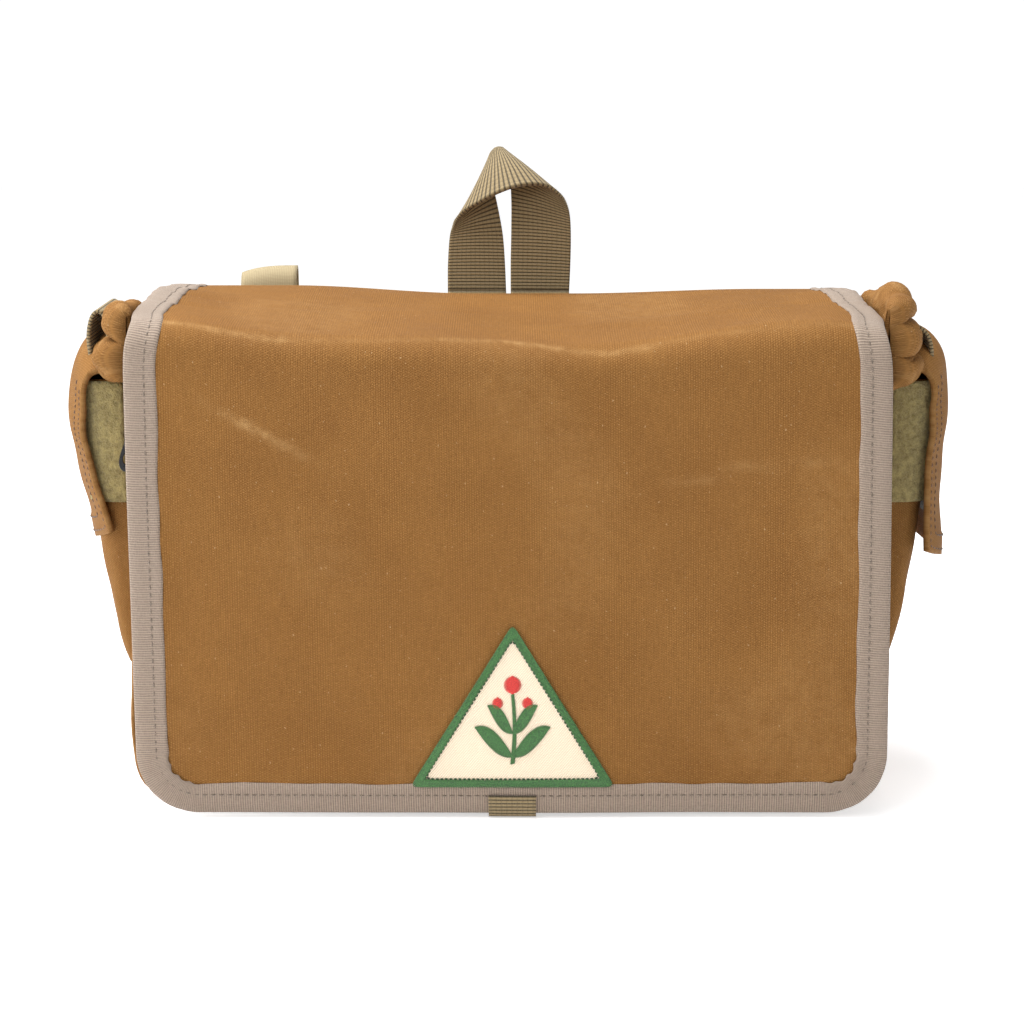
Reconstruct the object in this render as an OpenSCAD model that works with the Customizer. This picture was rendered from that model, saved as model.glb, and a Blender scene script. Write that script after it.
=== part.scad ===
// Waxed-canvas tool bag with a wrap-over flap, two end pockets, a webbing carry handle
// and two rear straps. Millimetres, +X along the bag's width, -Y to the front, +Z up.
// The origin is the middle of the bottom's underside.

/* [Body] */
// Outside width of the body, gusset to gusset
body_w = 306; // [260:1:380]
// Outside depth of the body, front panel to back panel
body_d = 130; // [100:1:170]
// Height of the panels above the floor
body_h = 190; // [165:1:240]
// Thickness of one canvas panel with its seam turnings
canvas_t = 2; // [1.2:0.1:3]
// Radius of the two bottom corners, seen from the front
body_corner_r = 14; // [6:1:25]
// Height of the reinforced boot at the bottom of the gussets
boot_h = 20; // [16:1:40]

/* [Stiffeners] */
// Thickness of the loose board on the bottom
base_board_t = 1.5; // [1:0.1:4]
// Thickness of the board behind the lining of the back
back_board_t = 2; // [1:0.1:4]
// Play between a board and the panels round it
board_gap = 2; // [1:0.5:8]

/* [Flap] */
// How far the flap's side edges stand in from the gussets
flap_side_inset = 2; // [2:0.5:30]
// How far the flap's side edges stand in at its back edge
flap_back_inset = 7; // [3:0.5:34]
// Thickness of the flap, canvas and lining
flap_t = 2.5; // [1.5:0.1:4]
// Gap between the body's front panel and the flap's inner face
flap_stand_off = 9.3; // [8.8:0.1:14]
// Gap between the top of the panels and the flap's inner face
flap_lift = 5; // [3:0.5:10]
// Inner radius of the flap's bend over the front
crest_r = 8; // [4:0.5:14]
// Inner radius of the flap's bend over the back
back_bend_r = 5; // [4:0.5:9]
// Height of the flap's bottom edge above the floor
flap_bottom = 3; // [2:0.5:40]
// Radius of the flap's bottom corners
flap_corner_r = 25; // [14:1:45]
// Height of the strip that sews the flap to the back panel
flap_root_h = 22; // [12:1:40]

/* [Binding and tab] */
// Width of the grosgrain binding on each face
binding_w = 13; // [8:0.5:20]
// Thickness of the grosgrain
binding_t = 0.6; // [0.3:0.1:1]
// Width of the pull tab under the patch
tab_w = 19; // [12:1:30]
// Thickness of the pull tab's webbing
tab_t = 1.2; // [0.8:0.1:2]
// Length of the pull tab up each face of the flap
tab_h = 12; // [8:1:30]

/* [Patch] */
// Width of the woven triangular patch
patch_w = 82; // [40:1:110]
// Height of the patch
patch_h = 66.5; // [35:0.5:90]
// How far the patch and the pull tab are sewn to the right of the flap's middle
patch_x = 1.8; // [-40:0.1:40]
// Height of the patch's lower edge above the flap's bottom edge
patch_lift = 10.8; // [5:0.1:30]
// Thickness of the patch's ground cloth
patch_t = 0.9; // [0.5:0.1:2]
// Width of the overlocked border
patch_border_w = 3.2; // [2:0.1:6]
// Height of the border's thread over the flap
patch_border_t = 1.5; // [1:0.1:3]
// Thickness of the embroidery on the ground
embroidery_t = 0.4; // [0.2:0.1:1]

/* [Front pocket] */
// Distance of the zip below the top of the front panel
zip_drop = 26; // [24:1:70]
// How far the front pocket's panel stands in from the gussets
front_pocket_inset = 10; // [8:1:50]
// Height of the pocket's lower edge above the floor
front_pocket_bottom = 24; // [16:1:60]
// Height of the two zip tapes together
zip_tape_h = 24; // [16:1:30]
// Thickness of the zip tape
zip_tape_t = 1; // [0.5:0.1:1.2]
// Radius of the half-round coil
zip_coil_r = 1.6; // [1:0.1:2]
// Length of the slider along the zip
slider_l = 12; // [8:0.5:16]
// Height of the slider across the zip
slider_h = 10; // [7:0.5:14]
// Thickness of the slider's front plate and bridge together
slider_t = 2.6; // [2:0.1:3]
// Length of the pull tab
pull_l = 22; // [15:1:40]
// Width of the pull tab
pull_w = 8; // [5:0.5:12]
// Thickness of the pull tab
pull_t = 1.4; // [0.8:0.1:1.8]

/* [Closure] */
// Width of the hidden hook and loop strips of the flap
closure_w = 90; // [50:5:160]
// Height of the hidden strips
closure_h = 25; // [16:1:50]
// Height of the strips' middle above the floor
closure_z = 45; // [40:1:90]
// Thickness of the loop strip with its backing
closure_loop_t = 3.4; // [1.5:0.1:3.8]

/* [End pockets] */
// How far the pocket's mouth stands out from the gusset
pocket_out = 25; // [18:1:40]
// How far the pocket's bottom stands out from the gusset
pocket_bottom_out = 4; // [3:0.5:12]
// Width of the pocket from front to back
pocket_w = 84; // [60:1:96]
// Distance of the pocket's mouth below the top of the panels
pocket_mouth_drop = 18; // [16:1:40]
// Height of the pocket's bottom above the floor
pocket_bottom_z = 52; // [30:1:90]
// Height of the loop tape round the pocket
loop_band_h = 50; // [25:1:60]
// Thickness of the loop tape
loop_band_t = 1.5; // [0.8:0.1:2.2]
// Gap between the loop tape and the flap's hook tape at the mouth
pocket_flap_gap = 1.3; // [0.8:0.1:4]
// Thickness of the pocket's flap
pocket_flap_t = 2; // [1.2:0.1:3]
// Width of the pocket's flap from front to back
pocket_flap_w = 92; // [64:1:104]
// Drop of the pocket's flap below its hinge
pocket_flap_drop = 84; // [50:1:100]
// Thickness of the hook tape inside the pocket's flap
hook_tape_t = 1.2; // [0.8:0.1:2]
// Height of the hook tape
hook_tape_h = 45; // [20:1:60]

/* [Lash loops] */
// Width of the lash loops' webbing
lash_w = 20; // [12:1:30]
// Thickness of the lash loops' webbing
lash_t = 1.5; // [1:0.1:2.5]
// Space across a lash loop's legs
lash_gap = 8; // [6:0.5:14]
// Height of a lash loop over the yoke
lash_h = 16; // [10:1:26]
// Place of the lash loops, from the middle of the gusset to the front
lash_forward = 26; // [0:1:34]

/* [Carry handle] */
// Width of the handle's webbing
handle_web_w = 26; // [19:1:40]
// Thickness of the handle's webbing
handle_web_t = 1.5; // [1:0.1:2.5]
// Space between the two legs where they are sewn
handle_leg_gap = 4; // [3:0.5:30]
// Height of the arch's front edge over the handle's fold line
handle_front_h = 48; // [35:1:90]
// Height of the arch's rear edge over the handle's fold line
handle_rear_h = 63; // [50:1:110]
// How far the arch's two edges stand in front of and behind the legs
handle_spread = 10; // [4:1:16]
// Length of the sewn feet of the handle
handle_foot_h = 26; // [15:1:50]

/* [Rear straps] */
// Width of the rear straps
strap_w = 25; // [16:1:38]
// Thickness of the rear straps
strap_t = 1.6; // [1:0.1:2.5]
// Distance from each gusset in to the middle of the strap beside it
strap_inset = 44; // [34:1:90]
// Height of the straps' tails above the floor
strap_tail_z = 70; // [30:1:100]
// Height of the left strap's loop above its hinge
left_strap_rise = 28; // [12:1:34]
// Height of the right strap's loop above its hinge
right_strap_rise = 12; // [12:1:34]

/* [Hidden] */
$fn = 48;

canvas = [0.55, 0.39, 0.21];
canvas_light = [0.66, 0.5, 0.31];
grosgrain = [0.66, 0.6, 0.53];
webbing = [0.51, 0.43, 0.29];
loop_tape = [0.59, 0.57, 0.39];
hook_tape = [0.3, 0.3, 0.2];
black = [0.08, 0.08, 0.08];
board = [0.2, 0.2, 0.2];

half_w = body_w / 2;
half_d = body_d / 2;
fit = 0.4; // clearance between pieces that move past each other

flap_w = body_w - 2 * flap_side_inset;
flap_back_w = body_w - 2 * flap_back_inset;

// flap, from its bends' centres
crest_y = -half_d - flap_stand_off + crest_r;
flap_top_z = body_h + flap_lift;
crest_z = flap_top_z - crest_r;
back_bend_y = half_d - back_bend_r;
back_bend_z = flap_top_z - back_bend_r;
flap_inner_y = -half_d - flap_stand_off;
flap_outer_y = flap_inner_y - flap_t;
hinge_back_y = half_d + canvas_t;
flap_root_top = back_bend_z;

// front pocket, then its zip stacked outwards from the front panel
front_pocket_half_w = half_w - front_pocket_inset;
zip_z = body_h - zip_drop;
pocket_face_y = -half_d - canvas_t;
tape_face_y = -half_d - zip_tape_t;
slider_back_y = tape_face_y - zip_coil_r - fit / 2;
slider_face_y = slider_back_y - slider_t;
pull_back_y = slider_face_y - 0.2;
zip_half_l = half_w - 1;
slider_x = -zip_half_l + slider_l / 2 + 0.5;
pull_x = slider_x - 1;
pull_z = zip_z - slider_h / 2 + 1;

// end pockets, measured out from the gusset
pocket_mouth_z = body_h - pocket_mouth_drop;
yoke_z = crest_z - 3;
yoke_out = pocket_out - 2.4;
flap_hinge_out = yoke_out + 1 + fit;
flap_hinge_z = yoke_z + canvas_t / 2;
bead_r = 1;
flap_face_out = pocket_out + loop_band_t + pocket_flap_gap + hook_tape_t + pocket_flap_t / 2;

// lash loops stand on the yoke
lash_out = yoke_out - lash_t - lash_gap / 2 - 1;
collar_r = 7.5;

// handle and rear straps, stacked outwards from the back panel
strap_x = half_w - strap_inset;
root_face_y = half_d + flap_t;
flap_sweep_y = hinge_back_y + flap_top_z + flap_t - back_bend_z; // rear face of the raised flap
handle_y = flap_sweep_y + fit + handle_web_t / 2 + 0.2;
handle_z = flap_top_z + flap_t + 0.5;
strap_hinge_y = root_face_y + strap_t + bead_r + fit;
strap_hinge_z = back_bend_z - 10;

// A box from its limits along each axis
module block(x, y, z) {
    translate([x[0], y[0], z[0]]) cube([x[1] - x[0], y[1] - y[0], z[1] - z[0]]);
}

// Extrudes an outline drawn in X and Z through the depth y[0] to y[1]
module through_y(y) {
    translate([0, y[1], 0]) rotate([90, 0, 0]) linear_extrude(y[1] - y[0]) children();
}

// Extrudes an outline drawn in Y and Z over the width x[0] to x[1]
module through_x(x) {
    translate([x[0], 0, 0]) rotate([90, 0, 90]) linear_extrude(x[1] - x[0]) children();
}

// A band of thickness t that follows a path of points
function heading(path, i) =
    let (d = path[min(i + 1, len(path) - 1)] - path[max(i - 1, 0)]) d / norm(d);
function beside(path, i, away) =
    path[i] + away * [-heading(path, i)[1], heading(path, i)[0]];
module band(path, t) {
    last = len(path) - 1;
    polygon(concat([for (i = [0:last]) beside(path, i, t / 2)],
                   [for (i = [0:last]) beside(path, last - i, -t / 2)]));
}
function arc(middle, r, from, to, steps = 10) =
    [for (i = [0:steps]) let (a = from + (to - from) * i / steps) middle + r * [cos(a), sin(a)]];

// An upright outline of half-width w whose two bottom corners are rounded
module bag_outline(w, low, high, r) {
    translate([-w, low + r]) square([2 * w, high - low - r]);
    translate([-w + r, low]) square([2 * (w - r), r + 1]);
    intersection() {
        for (side = [-1, 1]) translate([side * (w - r), low + r]) circle(r);
        translate([-w, low]) square([2 * w, high - low]);
    }
}

// Body
module front_panel() {
    color(canvas) through_y([-half_d, -half_d + canvas_t])
        bag_outline(half_w, 0, body_h, body_corner_r);
}
module back_panel() {
    color(canvas) through_y([half_d - canvas_t, half_d])
        bag_outline(half_w, 0, body_h, body_corner_r);
}
module gusset() {
    color(canvas) block([half_w - canvas_t, half_w], [-half_d + canvas_t, half_d - canvas_t],
                        [boot_h, body_h]);
}
module bottom_boot() {
    color(canvas) through_y([-half_d + canvas_t, half_d - canvas_t]) difference() {
        bag_outline(half_w, 0, boot_h, body_corner_r);
        bag_outline(half_w - canvas_t, canvas_t, boot_h + 1, body_corner_r - canvas_t);
    }
}
module base_board() {
    reach = half_w - body_corner_r - board_gap;
    color(board) block([-reach, reach],
                       [-half_d + canvas_t + board_gap, half_d - canvas_t - board_gap - back_board_t],
                       [canvas_t, canvas_t + base_board_t]);
}
module back_board() {
    reach = half_w - canvas_t - board_gap - 8;
    color(board) block([-reach, reach], [half_d - canvas_t - back_board_t, half_d - canvas_t],
                       [body_corner_r, body_h - board_gap - 6]);
}

// Two soft rolls of spare gusset cloth that lie over the top of each end
module collar_roll(out, z, r, y) {
    translate([half_w + out, y[0], z]) rotate([-90, 0, 0]) cylinder(h = y[1] - y[0], r = r);
    for (end = y) translate([half_w + out, end, z]) sphere(r);
}
module collar() {
    color(canvas) difference() {
        union() {
            collar_roll(collar_r - 1.2, yoke_z + canvas_t + collar_r + 1, collar_r,
                        [-half_d + 18, half_d - 16]);
            block([half_w - canvas_t, half_w + collar_r - 1], [-half_d + 14, half_d - 12],
                  [body_h, body_h + 5]);
        }
        block([half_w - canvas_t - 1, half_w], [-half_d, half_d], [yoke_z, body_h]);
        block([0, half_w - canvas_t], [-half_d, half_d], [yoke_z, body_h + 30]);
        lash_space();
    }
}

// Front pocket and its zip
module front_pocket_panel() {
    color(canvas) block([-front_pocket_half_w, front_pocket_half_w], [pocket_face_y, -half_d],
                        [front_pocket_bottom, zip_z - zip_tape_h / 2]);
}
module zip_tapes() {
    color(black) for (side = [-1, 1])
        block([-zip_half_l, zip_half_l], [tape_face_y, -half_d],
              side > 0 ? [zip_z + 0.1, zip_z + zip_tape_h / 2] : [zip_z - zip_tape_h / 2, zip_z - 0.1]);
}
module zip_coil() {
    reach = zip_half_l - 3;
    color(black) intersection() {
        translate([-reach, tape_face_y, zip_z]) rotate([0, 90, 0])
            cylinder(h = 2 * reach, r = zip_coil_r);
        block([-reach, reach], [tape_face_y - zip_coil_r, tape_face_y],
              [zip_z - zip_coil_r, zip_z + zip_coil_r]);
    }
}
module zip_stops() {
    color(black) for (x = [-zip_half_l, zip_half_l - 2.5])
        block([x, x + 2.5], [tape_face_y - zip_coil_r, tape_face_y],
              [zip_z - 2 * zip_coil_r, zip_z + 2 * zip_coil_r]);
}
module zip_slider() {
    color(black) difference() {
        block([slider_x - slider_l / 2, slider_x + slider_l / 2], [slider_face_y, slider_back_y],
              [zip_z - slider_h / 2, zip_z + slider_h / 2]);
        for (side = [-1, 1]) translate([slider_x + slider_l / 2, 0, zip_z + side * slider_h / 2])
            rotate([90, 0, 0]) cylinder(h = 200, r = 2.5);
    }
}
module zip_pull() {
    color(black) through_y([pull_back_y - pull_t, pull_back_y]) difference() {
        union() {
            translate([pull_x - pull_w / 2, pull_z - pull_l + pull_w / 2])
                square([pull_w, pull_l - pull_w / 2]);
            translate([pull_x, pull_z - pull_l + pull_w / 2]) circle(pull_w / 2);
        }
        translate([pull_x, pull_z - pull_l + pull_w / 2]) circle(pull_w / 4);
    }
}

// Hidden closure of the flap
module front_loop_strip() {
    color(loop_tape) block([-closure_w / 2, closure_w / 2],
                           [pocket_face_y - closure_loop_t, pocket_face_y],
                           [closure_z - closure_h / 2, closure_z + closure_h / 2]);
}
module flap_hook_strip() {
    color(hook_tape) block([-closure_w / 2, closure_w / 2],
                           [flap_inner_y, pocket_face_y - closure_loop_t - fit],
                           [closure_z - closure_h / 2, closure_z + closure_h / 2]);
}

// End pockets, drawn at the right-hand end
function pocket_wall(z) =
    half_w + pocket_bottom_out
    + (pocket_out - pocket_bottom_out) * (z - pocket_bottom_z) / (pocket_mouth_z - pocket_bottom_z);
module pocket_outline(grow, low, high) {
    polygon([[half_w, low], [pocket_wall(low) + grow, low],
             [pocket_wall(high) + grow, high], [half_w, high]]);
}
module pocket_pouch() {
    color(canvas) difference() {
        through_y([-pocket_w / 2, pocket_w / 2])
            pocket_outline(0, pocket_bottom_z, pocket_mouth_z);
        through_y([-pocket_w / 2 + canvas_t, pocket_w / 2 - canvas_t])
            pocket_outline(-canvas_t, pocket_bottom_z + canvas_t, pocket_mouth_z + 1);
    }
}
module pocket_loop_band() {
    low = pocket_mouth_z - loop_band_h;
    color(loop_tape) difference() {
        through_y([-pocket_w / 2 - loop_band_t, pocket_w / 2 + loop_band_t])
            pocket_outline(loop_band_t, low, pocket_mouth_z);
        through_y([-pocket_w / 2, pocket_w / 2]) pocket_outline(0, low - 1, pocket_mouth_z + 1);
    }
}
module pocket_yoke() {
    color(canvas) block([half_w, half_w + yoke_out], [-pocket_flap_w / 2, pocket_flap_w / 2],
                        [yoke_z, yoke_z + canvas_t]);
}
// The pocket's flap from its hinge down: the points of its middle surface
flap_bottom_out = 2.5; // how much further the lower part stands off the pouch
function pocket_flap_path() =
    let (bottom = flap_hinge_z - pocket_flap_drop,
         off = flap_face_out - pocket_out + flap_bottom_out)
    [[half_w + flap_hinge_out, flap_hinge_z],
     [half_w + flap_hinge_out + 0.6 * (flap_face_out - flap_hinge_out), flap_hinge_z - 2],
     [half_w + flap_face_out, flap_hinge_z - 9],
     [half_w + flap_face_out - 0.5, pocket_mouth_z - 12],
     [pocket_wall(bottom + 12) + off, bottom + 12],
     [pocket_wall(bottom) + off, bottom]];
module pocket_flap() {
    color(canvas) {
        through_y([-pocket_flap_w / 2, pocket_flap_w / 2]) band(pocket_flap_path(), pocket_flap_t);
        translate([half_w + flap_hinge_out, -pocket_flap_w / 2, flap_hinge_z]) rotate([-90, 0, 0])
            cylinder(h = pocket_flap_w, r = bead_r);
    }
}
module pocket_hook_tape() {
    path = pocket_flap_path();
    inner = pocket_flap_t / 2 + hook_tape_t / 2;
    low = pocket_mouth_z - 10 - hook_tape_h;
    high = pocket_mouth_z - 14;
    function flap_out(z) = path[4][0] + (path[3][0] - path[4][0]) * (z - path[4][1]) / (path[3][1] - path[4][1]);
    color(hook_tape) through_y([-pocket_w / 2 + 6, pocket_w / 2 - 6])
        polygon([[flap_out(low) - pocket_flap_t / 2 - 0.1, low],
                 [flap_out(high) - pocket_flap_t / 2 - 0.1, high],
                 [flap_out(high) - inner - hook_tape_t / 2, high],
                 [flap_out(low) - inner - hook_tape_t / 2, low]]);
}

// Lash loop: webbing folded over and sewn to the yoke, open from front to back
module lash_path() {
    base = yoke_z + canvas_t;
    r = lash_gap / 2 + lash_t / 2;
    middle = [half_w + lash_out, base + lash_h - r - lash_t / 2];
    band(concat([[middle[0] - r, base]], arc(middle, r, 180, 0, 12), [[middle[0] + r, base]]),
         lash_t);
}
module lash_space() {
    block([half_w + lash_out - lash_gap / 2 - lash_t - fit, half_w + 60],
          [-lash_forward - lash_w / 2 - fit, -lash_forward + lash_w / 2 + fit],
          [yoke_z + canvas_t, yoke_z + 60]);
}
module lash_loop() {
    color(webbing) through_y([-lash_forward - lash_w / 2, -lash_forward + lash_w / 2]) lash_path();
}

// Flap
module quarter_bend(y, z, r, w, front) {
    translate([-w / 2, y, z]) intersection() {
        rotate([0, 90, 0]) difference() {
            cylinder(h = w, r = r + flap_t);
            translate([0, 0, -1]) cylinder(h = w + 2, r = r);
        }
        block([0, w], front ? [-2 * r - 9, 0] : [0, 2 * r + 9], [0, 2 * r + 9]);
    }
}
module flap_root_strip() {
    color(canvas_light) block([-flap_back_w / 2, flap_back_w / 2], [half_d, half_d + flap_t],
                              [flap_root_top - flap_root_h, flap_root_top]);
}
module flap_back_bend() {
    color(canvas_light) quarter_bend(back_bend_y, back_bend_z, back_bend_r, flap_back_w, false);
}
module flap_crest_bend() {
    color(canvas_light) quarter_bend(crest_y, crest_z, crest_r, flap_w, true);
}
// The top, seen from above, grown or shrunk by its edge
module top_outline(edge) {
    polygon([[-flap_w / 2 - edge, crest_y], [flap_w / 2 + edge, crest_y],
             [flap_back_w / 2 + edge, back_bend_y], [-flap_back_w / 2 - edge, back_bend_y]]);
}
module flap_top_panel() {
    color(canvas_light) translate([0, 0, flap_top_z]) linear_extrude(flap_t) top_outline(-binding_t);
}
module flap_top_binding() {
    color(grosgrain) difference() {
        translate([0, 0, flap_top_z - binding_t]) linear_extrude(flap_t + 2 * binding_t) difference() {
            top_outline(0);
            top_outline(-binding_w);
        }
        translate([0, 0, flap_top_z]) linear_extrude(flap_t) top_outline(-binding_t);
    }
}
module front_outline(edge) {
    bag_outline(flap_w / 2 + edge, flap_bottom - edge, crest_z, flap_corner_r + edge);
}
module flap_front_panel() {
    color(canvas) through_y([flap_outer_y, flap_inner_y]) front_outline(-binding_t);
}
module flap_front_binding() {
    color(grosgrain) difference() {
        through_y([flap_outer_y - binding_t, flap_inner_y + binding_t]) difference() {
            front_outline(0);
            front_outline(-binding_w);
        }
        through_y([flap_outer_y, flap_inner_y]) front_outline(-binding_t);
    }
}
// Webbing folded round the flap's bottom edge, outside the binding
// and short of the patch in front
module flap_tab() {
    low = flap_bottom - tab_t;
    front_top = min(low + tab_h, patch_z - fit);
    front = flap_outer_y - binding_t;
    back = flap_inner_y + binding_t;
    side = [patch_x - tab_w / 2, patch_x + tab_w / 2];
    color(webbing) {
        block(side, [front - tab_t, back + tab_t], [low, flap_bottom]);
        block(side, [front - tab_t, front], [low, front_top]);
        block(side, [back, back + tab_t], [low, low + tab_h]);
    }
}

// Patch: a triangle with a plain seedling and three berries
patch_z = flap_bottom + patch_lift;
drawing_scale = patch_h / 63; // the seedling is drawn for a patch 63 high
patch_y = flap_outer_y - (patch_lift < binding_w ? binding_t : 0);
module patch_triangle(inset) {
    slope = atan2(patch_h, patch_w / 2);
    cut = inset / tan(slope / 2);
    translate([patch_x, patch_z])
        polygon([[-patch_w / 2 + cut, inset], [patch_w / 2 - cut, inset],
                 [0, patch_h - inset / cos(slope)]]);
}
module patch_ground() {
    color([0.93, 0.88, 0.79]) through_y([patch_y - patch_t, patch_y]) patch_triangle(patch_border_w);
}
module patch_border() {
    color([0.2, 0.4, 0.18]) through_y([patch_y - patch_border_t, patch_y]) difference() {
        patch_triangle(0);
        patch_triangle(patch_border_w);
    }
}
module leaf(x, z, length, width, turn) {
    r = (length * length / 4 + width * width / 4) / width;
    translate([x, z]) rotate(turn) translate([0, length / 2]) intersection() {
        translate([r - width / 2, 0]) circle(r);
        translate([width / 2 - r, 0]) circle(r);
    }
}
module patch_leaves() {
    foot = 9;
    color([0.22, 0.42, 0.2]) through_y([patch_y - patch_t - embroidery_t, patch_y - patch_t])
        translate([patch_x, patch_z]) scale(drawing_scale) {
            translate([-0.8, foot]) square([1.6, 26]);
            for (side = [-1, 1], row = [0:1])
                leaf(0, foot + 3 + 9 * row, 17 - 4 * row, 6.5 - row, side * (52 - 8 * row));
        }
}
module patch_berries() {
    color([0.8, 0.15, 0.12]) through_y([patch_y - patch_t - embroidery_t, patch_y - patch_t])
        translate([patch_x, patch_z]) scale(drawing_scale)
            for (berry = [[0, 39.5, 3.2], [-5.4, 32.5, 2], [5.4, 32.5, 2]])
                translate([berry[0], berry[1]]) circle(berry[2]);
}

// Carry handle: one length of webbing. Its outer edges rise into a low wide arch in front,
// and its inner edges into a tall narrow arch behind.
function signed_power(v, p) = sign(v) * pow(abs(v), p);
function handle_outer(a) =
    let (w = handle_leg_gap / 2 + handle_web_w)
    [-w * signed_power(cos(a), 0.62), handle_y - handle_spread * pow(sin(a), 2.2),
     handle_z + handle_front_h * pow(sin(a), 0.62)];
function handle_inner(a) =
    let (w = handle_leg_gap / 2 + 4.5 * pow(sin(a), 1.5))
    [-w * signed_power(cos(a), 0.45), handle_y + handle_spread * pow(sin(a), 2.2),
     handle_z + handle_rear_h * pow(sin(a), 0.7)];
function handle_point(a, v) = handle_outer(a) * (1 - v) + handle_inner(a) * v;
function handle_normal(a, v) =
    let (lo = max(a - 2, 0.01), hi = min(a + 2, 179.99),
         n = cross(handle_point(hi, v) - handle_point(lo, v), handle_inner(a) - handle_outer(a)))
    n / norm(n);
module carry_handle() {
    rings = 32;
    across = 3;
    row = across + 1;
    half = (rings + 1) * row;
    spot = function (i, j, s) let (a = max(0.02, min(179.98, 180 * i / rings)), v = j / across)
        handle_point(a, v) + s * handle_web_t / 2 * handle_normal(a, v);
    points = [for (s = [-1, 1], i = [0:rings], j = [0:across]) spot(i, j, s)];
    top = [for (i = [0:rings - 1], j = [0:across - 1])
        let (p = i * row + j, q = p + row) each [[p, q, q + 1], [p, q + 1, p + 1]]];
    under = [for (f = top) [f[2] + half, f[1] + half, f[0] + half]];
    sides = [for (i = [0:rings - 1], j = [0, across])
        let (p = i * row + j, q = p + row, a = p + half, b = q + half)
        each (j == 0 ? [[p, a, b], [p, b, q]] : [[p, b, a], [p, q, b]])];
    ends = [for (j = [0:across - 1], i = [0, rings])
        let (p = i * row + j, q = p + 1, a = p + half, b = q + half)
        each (i == 0 ? [[p, b, a], [p, q, b]] : [[p, a, b], [p, b, q]])];
    color(webbing) polyhedron(points, [for (f = concat(top, under, sides, ends)) [f[2], f[1], f[0]]]);
}
module handle_feet() {
    path = [[root_face_y + handle_web_t / 2, flap_root_top - handle_foot_h],
            [root_face_y + handle_web_t / 2, flap_root_top - 8],
            [handle_y - 1.5, handle_z - 9],
            [handle_y, handle_z - handle_web_t / 2 - 1.5 * fit]];
    color(webbing) for (side = [-1, 1])
        through_x(side > 0 ? [handle_leg_gap / 2, handle_leg_gap / 2 + handle_web_w]
                           : [-handle_leg_gap / 2 - handle_web_w, -handle_leg_gap / 2])
            band(path, handle_web_t);
}

// Rear straps: an anchor sewn over the flap's root, a loop tape landing on the back,
// and a hook-tipped band that hangs from the anchor
module strap_anchor() {
    color(loop_tape) block([-strap_w / 2, strap_w / 2], [root_face_y, root_face_y + strap_t],
                           [flap_root_top - flap_root_h, strap_hinge_z - bead_r - fit]);
}
module strap_landing() {
    color(loop_tape) block([-strap_w / 2, strap_w / 2], [half_d, half_d + strap_t],
                           [strap_tail_z - 10, flap_root_top - flap_root_h - 1]);
}
module strap_band(rise) {
    loop_r = 7;
    front = flap_sweep_y + fit + strap_t / 2 + 1.4;
    top = [front + loop_r, strap_hinge_z + rise - loop_r];
    path = concat([[strap_hinge_y, strap_hinge_z], [strap_hinge_y + 3, strap_hinge_z + 0.2 * rise]],
                  arc(top, loop_r, 180, 0, 10),
                  [[front + 2 * loop_r - 2, strap_hinge_z - 18],
                   [root_face_y + 7, strap_hinge_z - 50],
                   [root_face_y + 5, strap_tail_z]]);
    color(loop_tape) {
        through_x([-strap_w / 2, strap_w / 2]) band(path, strap_t);
        translate([-strap_w / 2, strap_hinge_y, strap_hinge_z]) rotate([0, 90, 0])
            cylinder(h = strap_w, r = bead_r);
    }
}

module left() { mirror([1, 0, 0]) children(); }

front_panel();
back_panel();
left() gusset();  // left_gusset
gusset();  // right_gusset
bottom_boot();
base_board();
back_board();
left() collar();  // left_collar
collar();  // right_collar
front_pocket_panel();
zip_tapes();
zip_coil();
zip_stops();
zip_slider();
zip_pull();
front_loop_strip();
left() pocket_pouch();  // left_pocket_pouch
pocket_pouch();  // right_pocket_pouch
left() pocket_loop_band();  // left_pocket_loop_band
pocket_loop_band();  // right_pocket_loop_band
left() pocket_yoke();  // left_pocket_yoke
pocket_yoke();  // right_pocket_yoke
left() pocket_flap();  // left_pocket_flap
pocket_flap();  // right_pocket_flap
left() pocket_hook_tape();  // left_pocket_hook_tape
pocket_hook_tape();  // right_pocket_hook_tape
left() lash_loop();  // left_lash_loop
lash_loop();  // right_lash_loop
flap_root_strip();
flap_back_bend();
flap_top_panel();
flap_top_binding();
flap_crest_bend();
flap_front_panel();
flap_front_binding();
flap_hook_strip();
flap_tab();
patch_ground();
patch_border();
patch_leaves();
patch_berries();
handle_feet();
carry_handle();
translate([-strap_x, 0, 0]) strap_anchor();  // left_strap_anchor
translate([strap_x, 0, 0]) strap_anchor();  // right_strap_anchor
translate([-strap_x, 0, 0]) strap_landing();  // left_strap_landing
translate([strap_x, 0, 0]) strap_landing();  // right_strap_landing
translate([-strap_x, 0, 0]) strap_band(left_strap_rise);  // left_strap_band
translate([strap_x, 0, 0]) strap_band(right_strap_rise);  // right_strap_band
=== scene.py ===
import math

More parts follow.
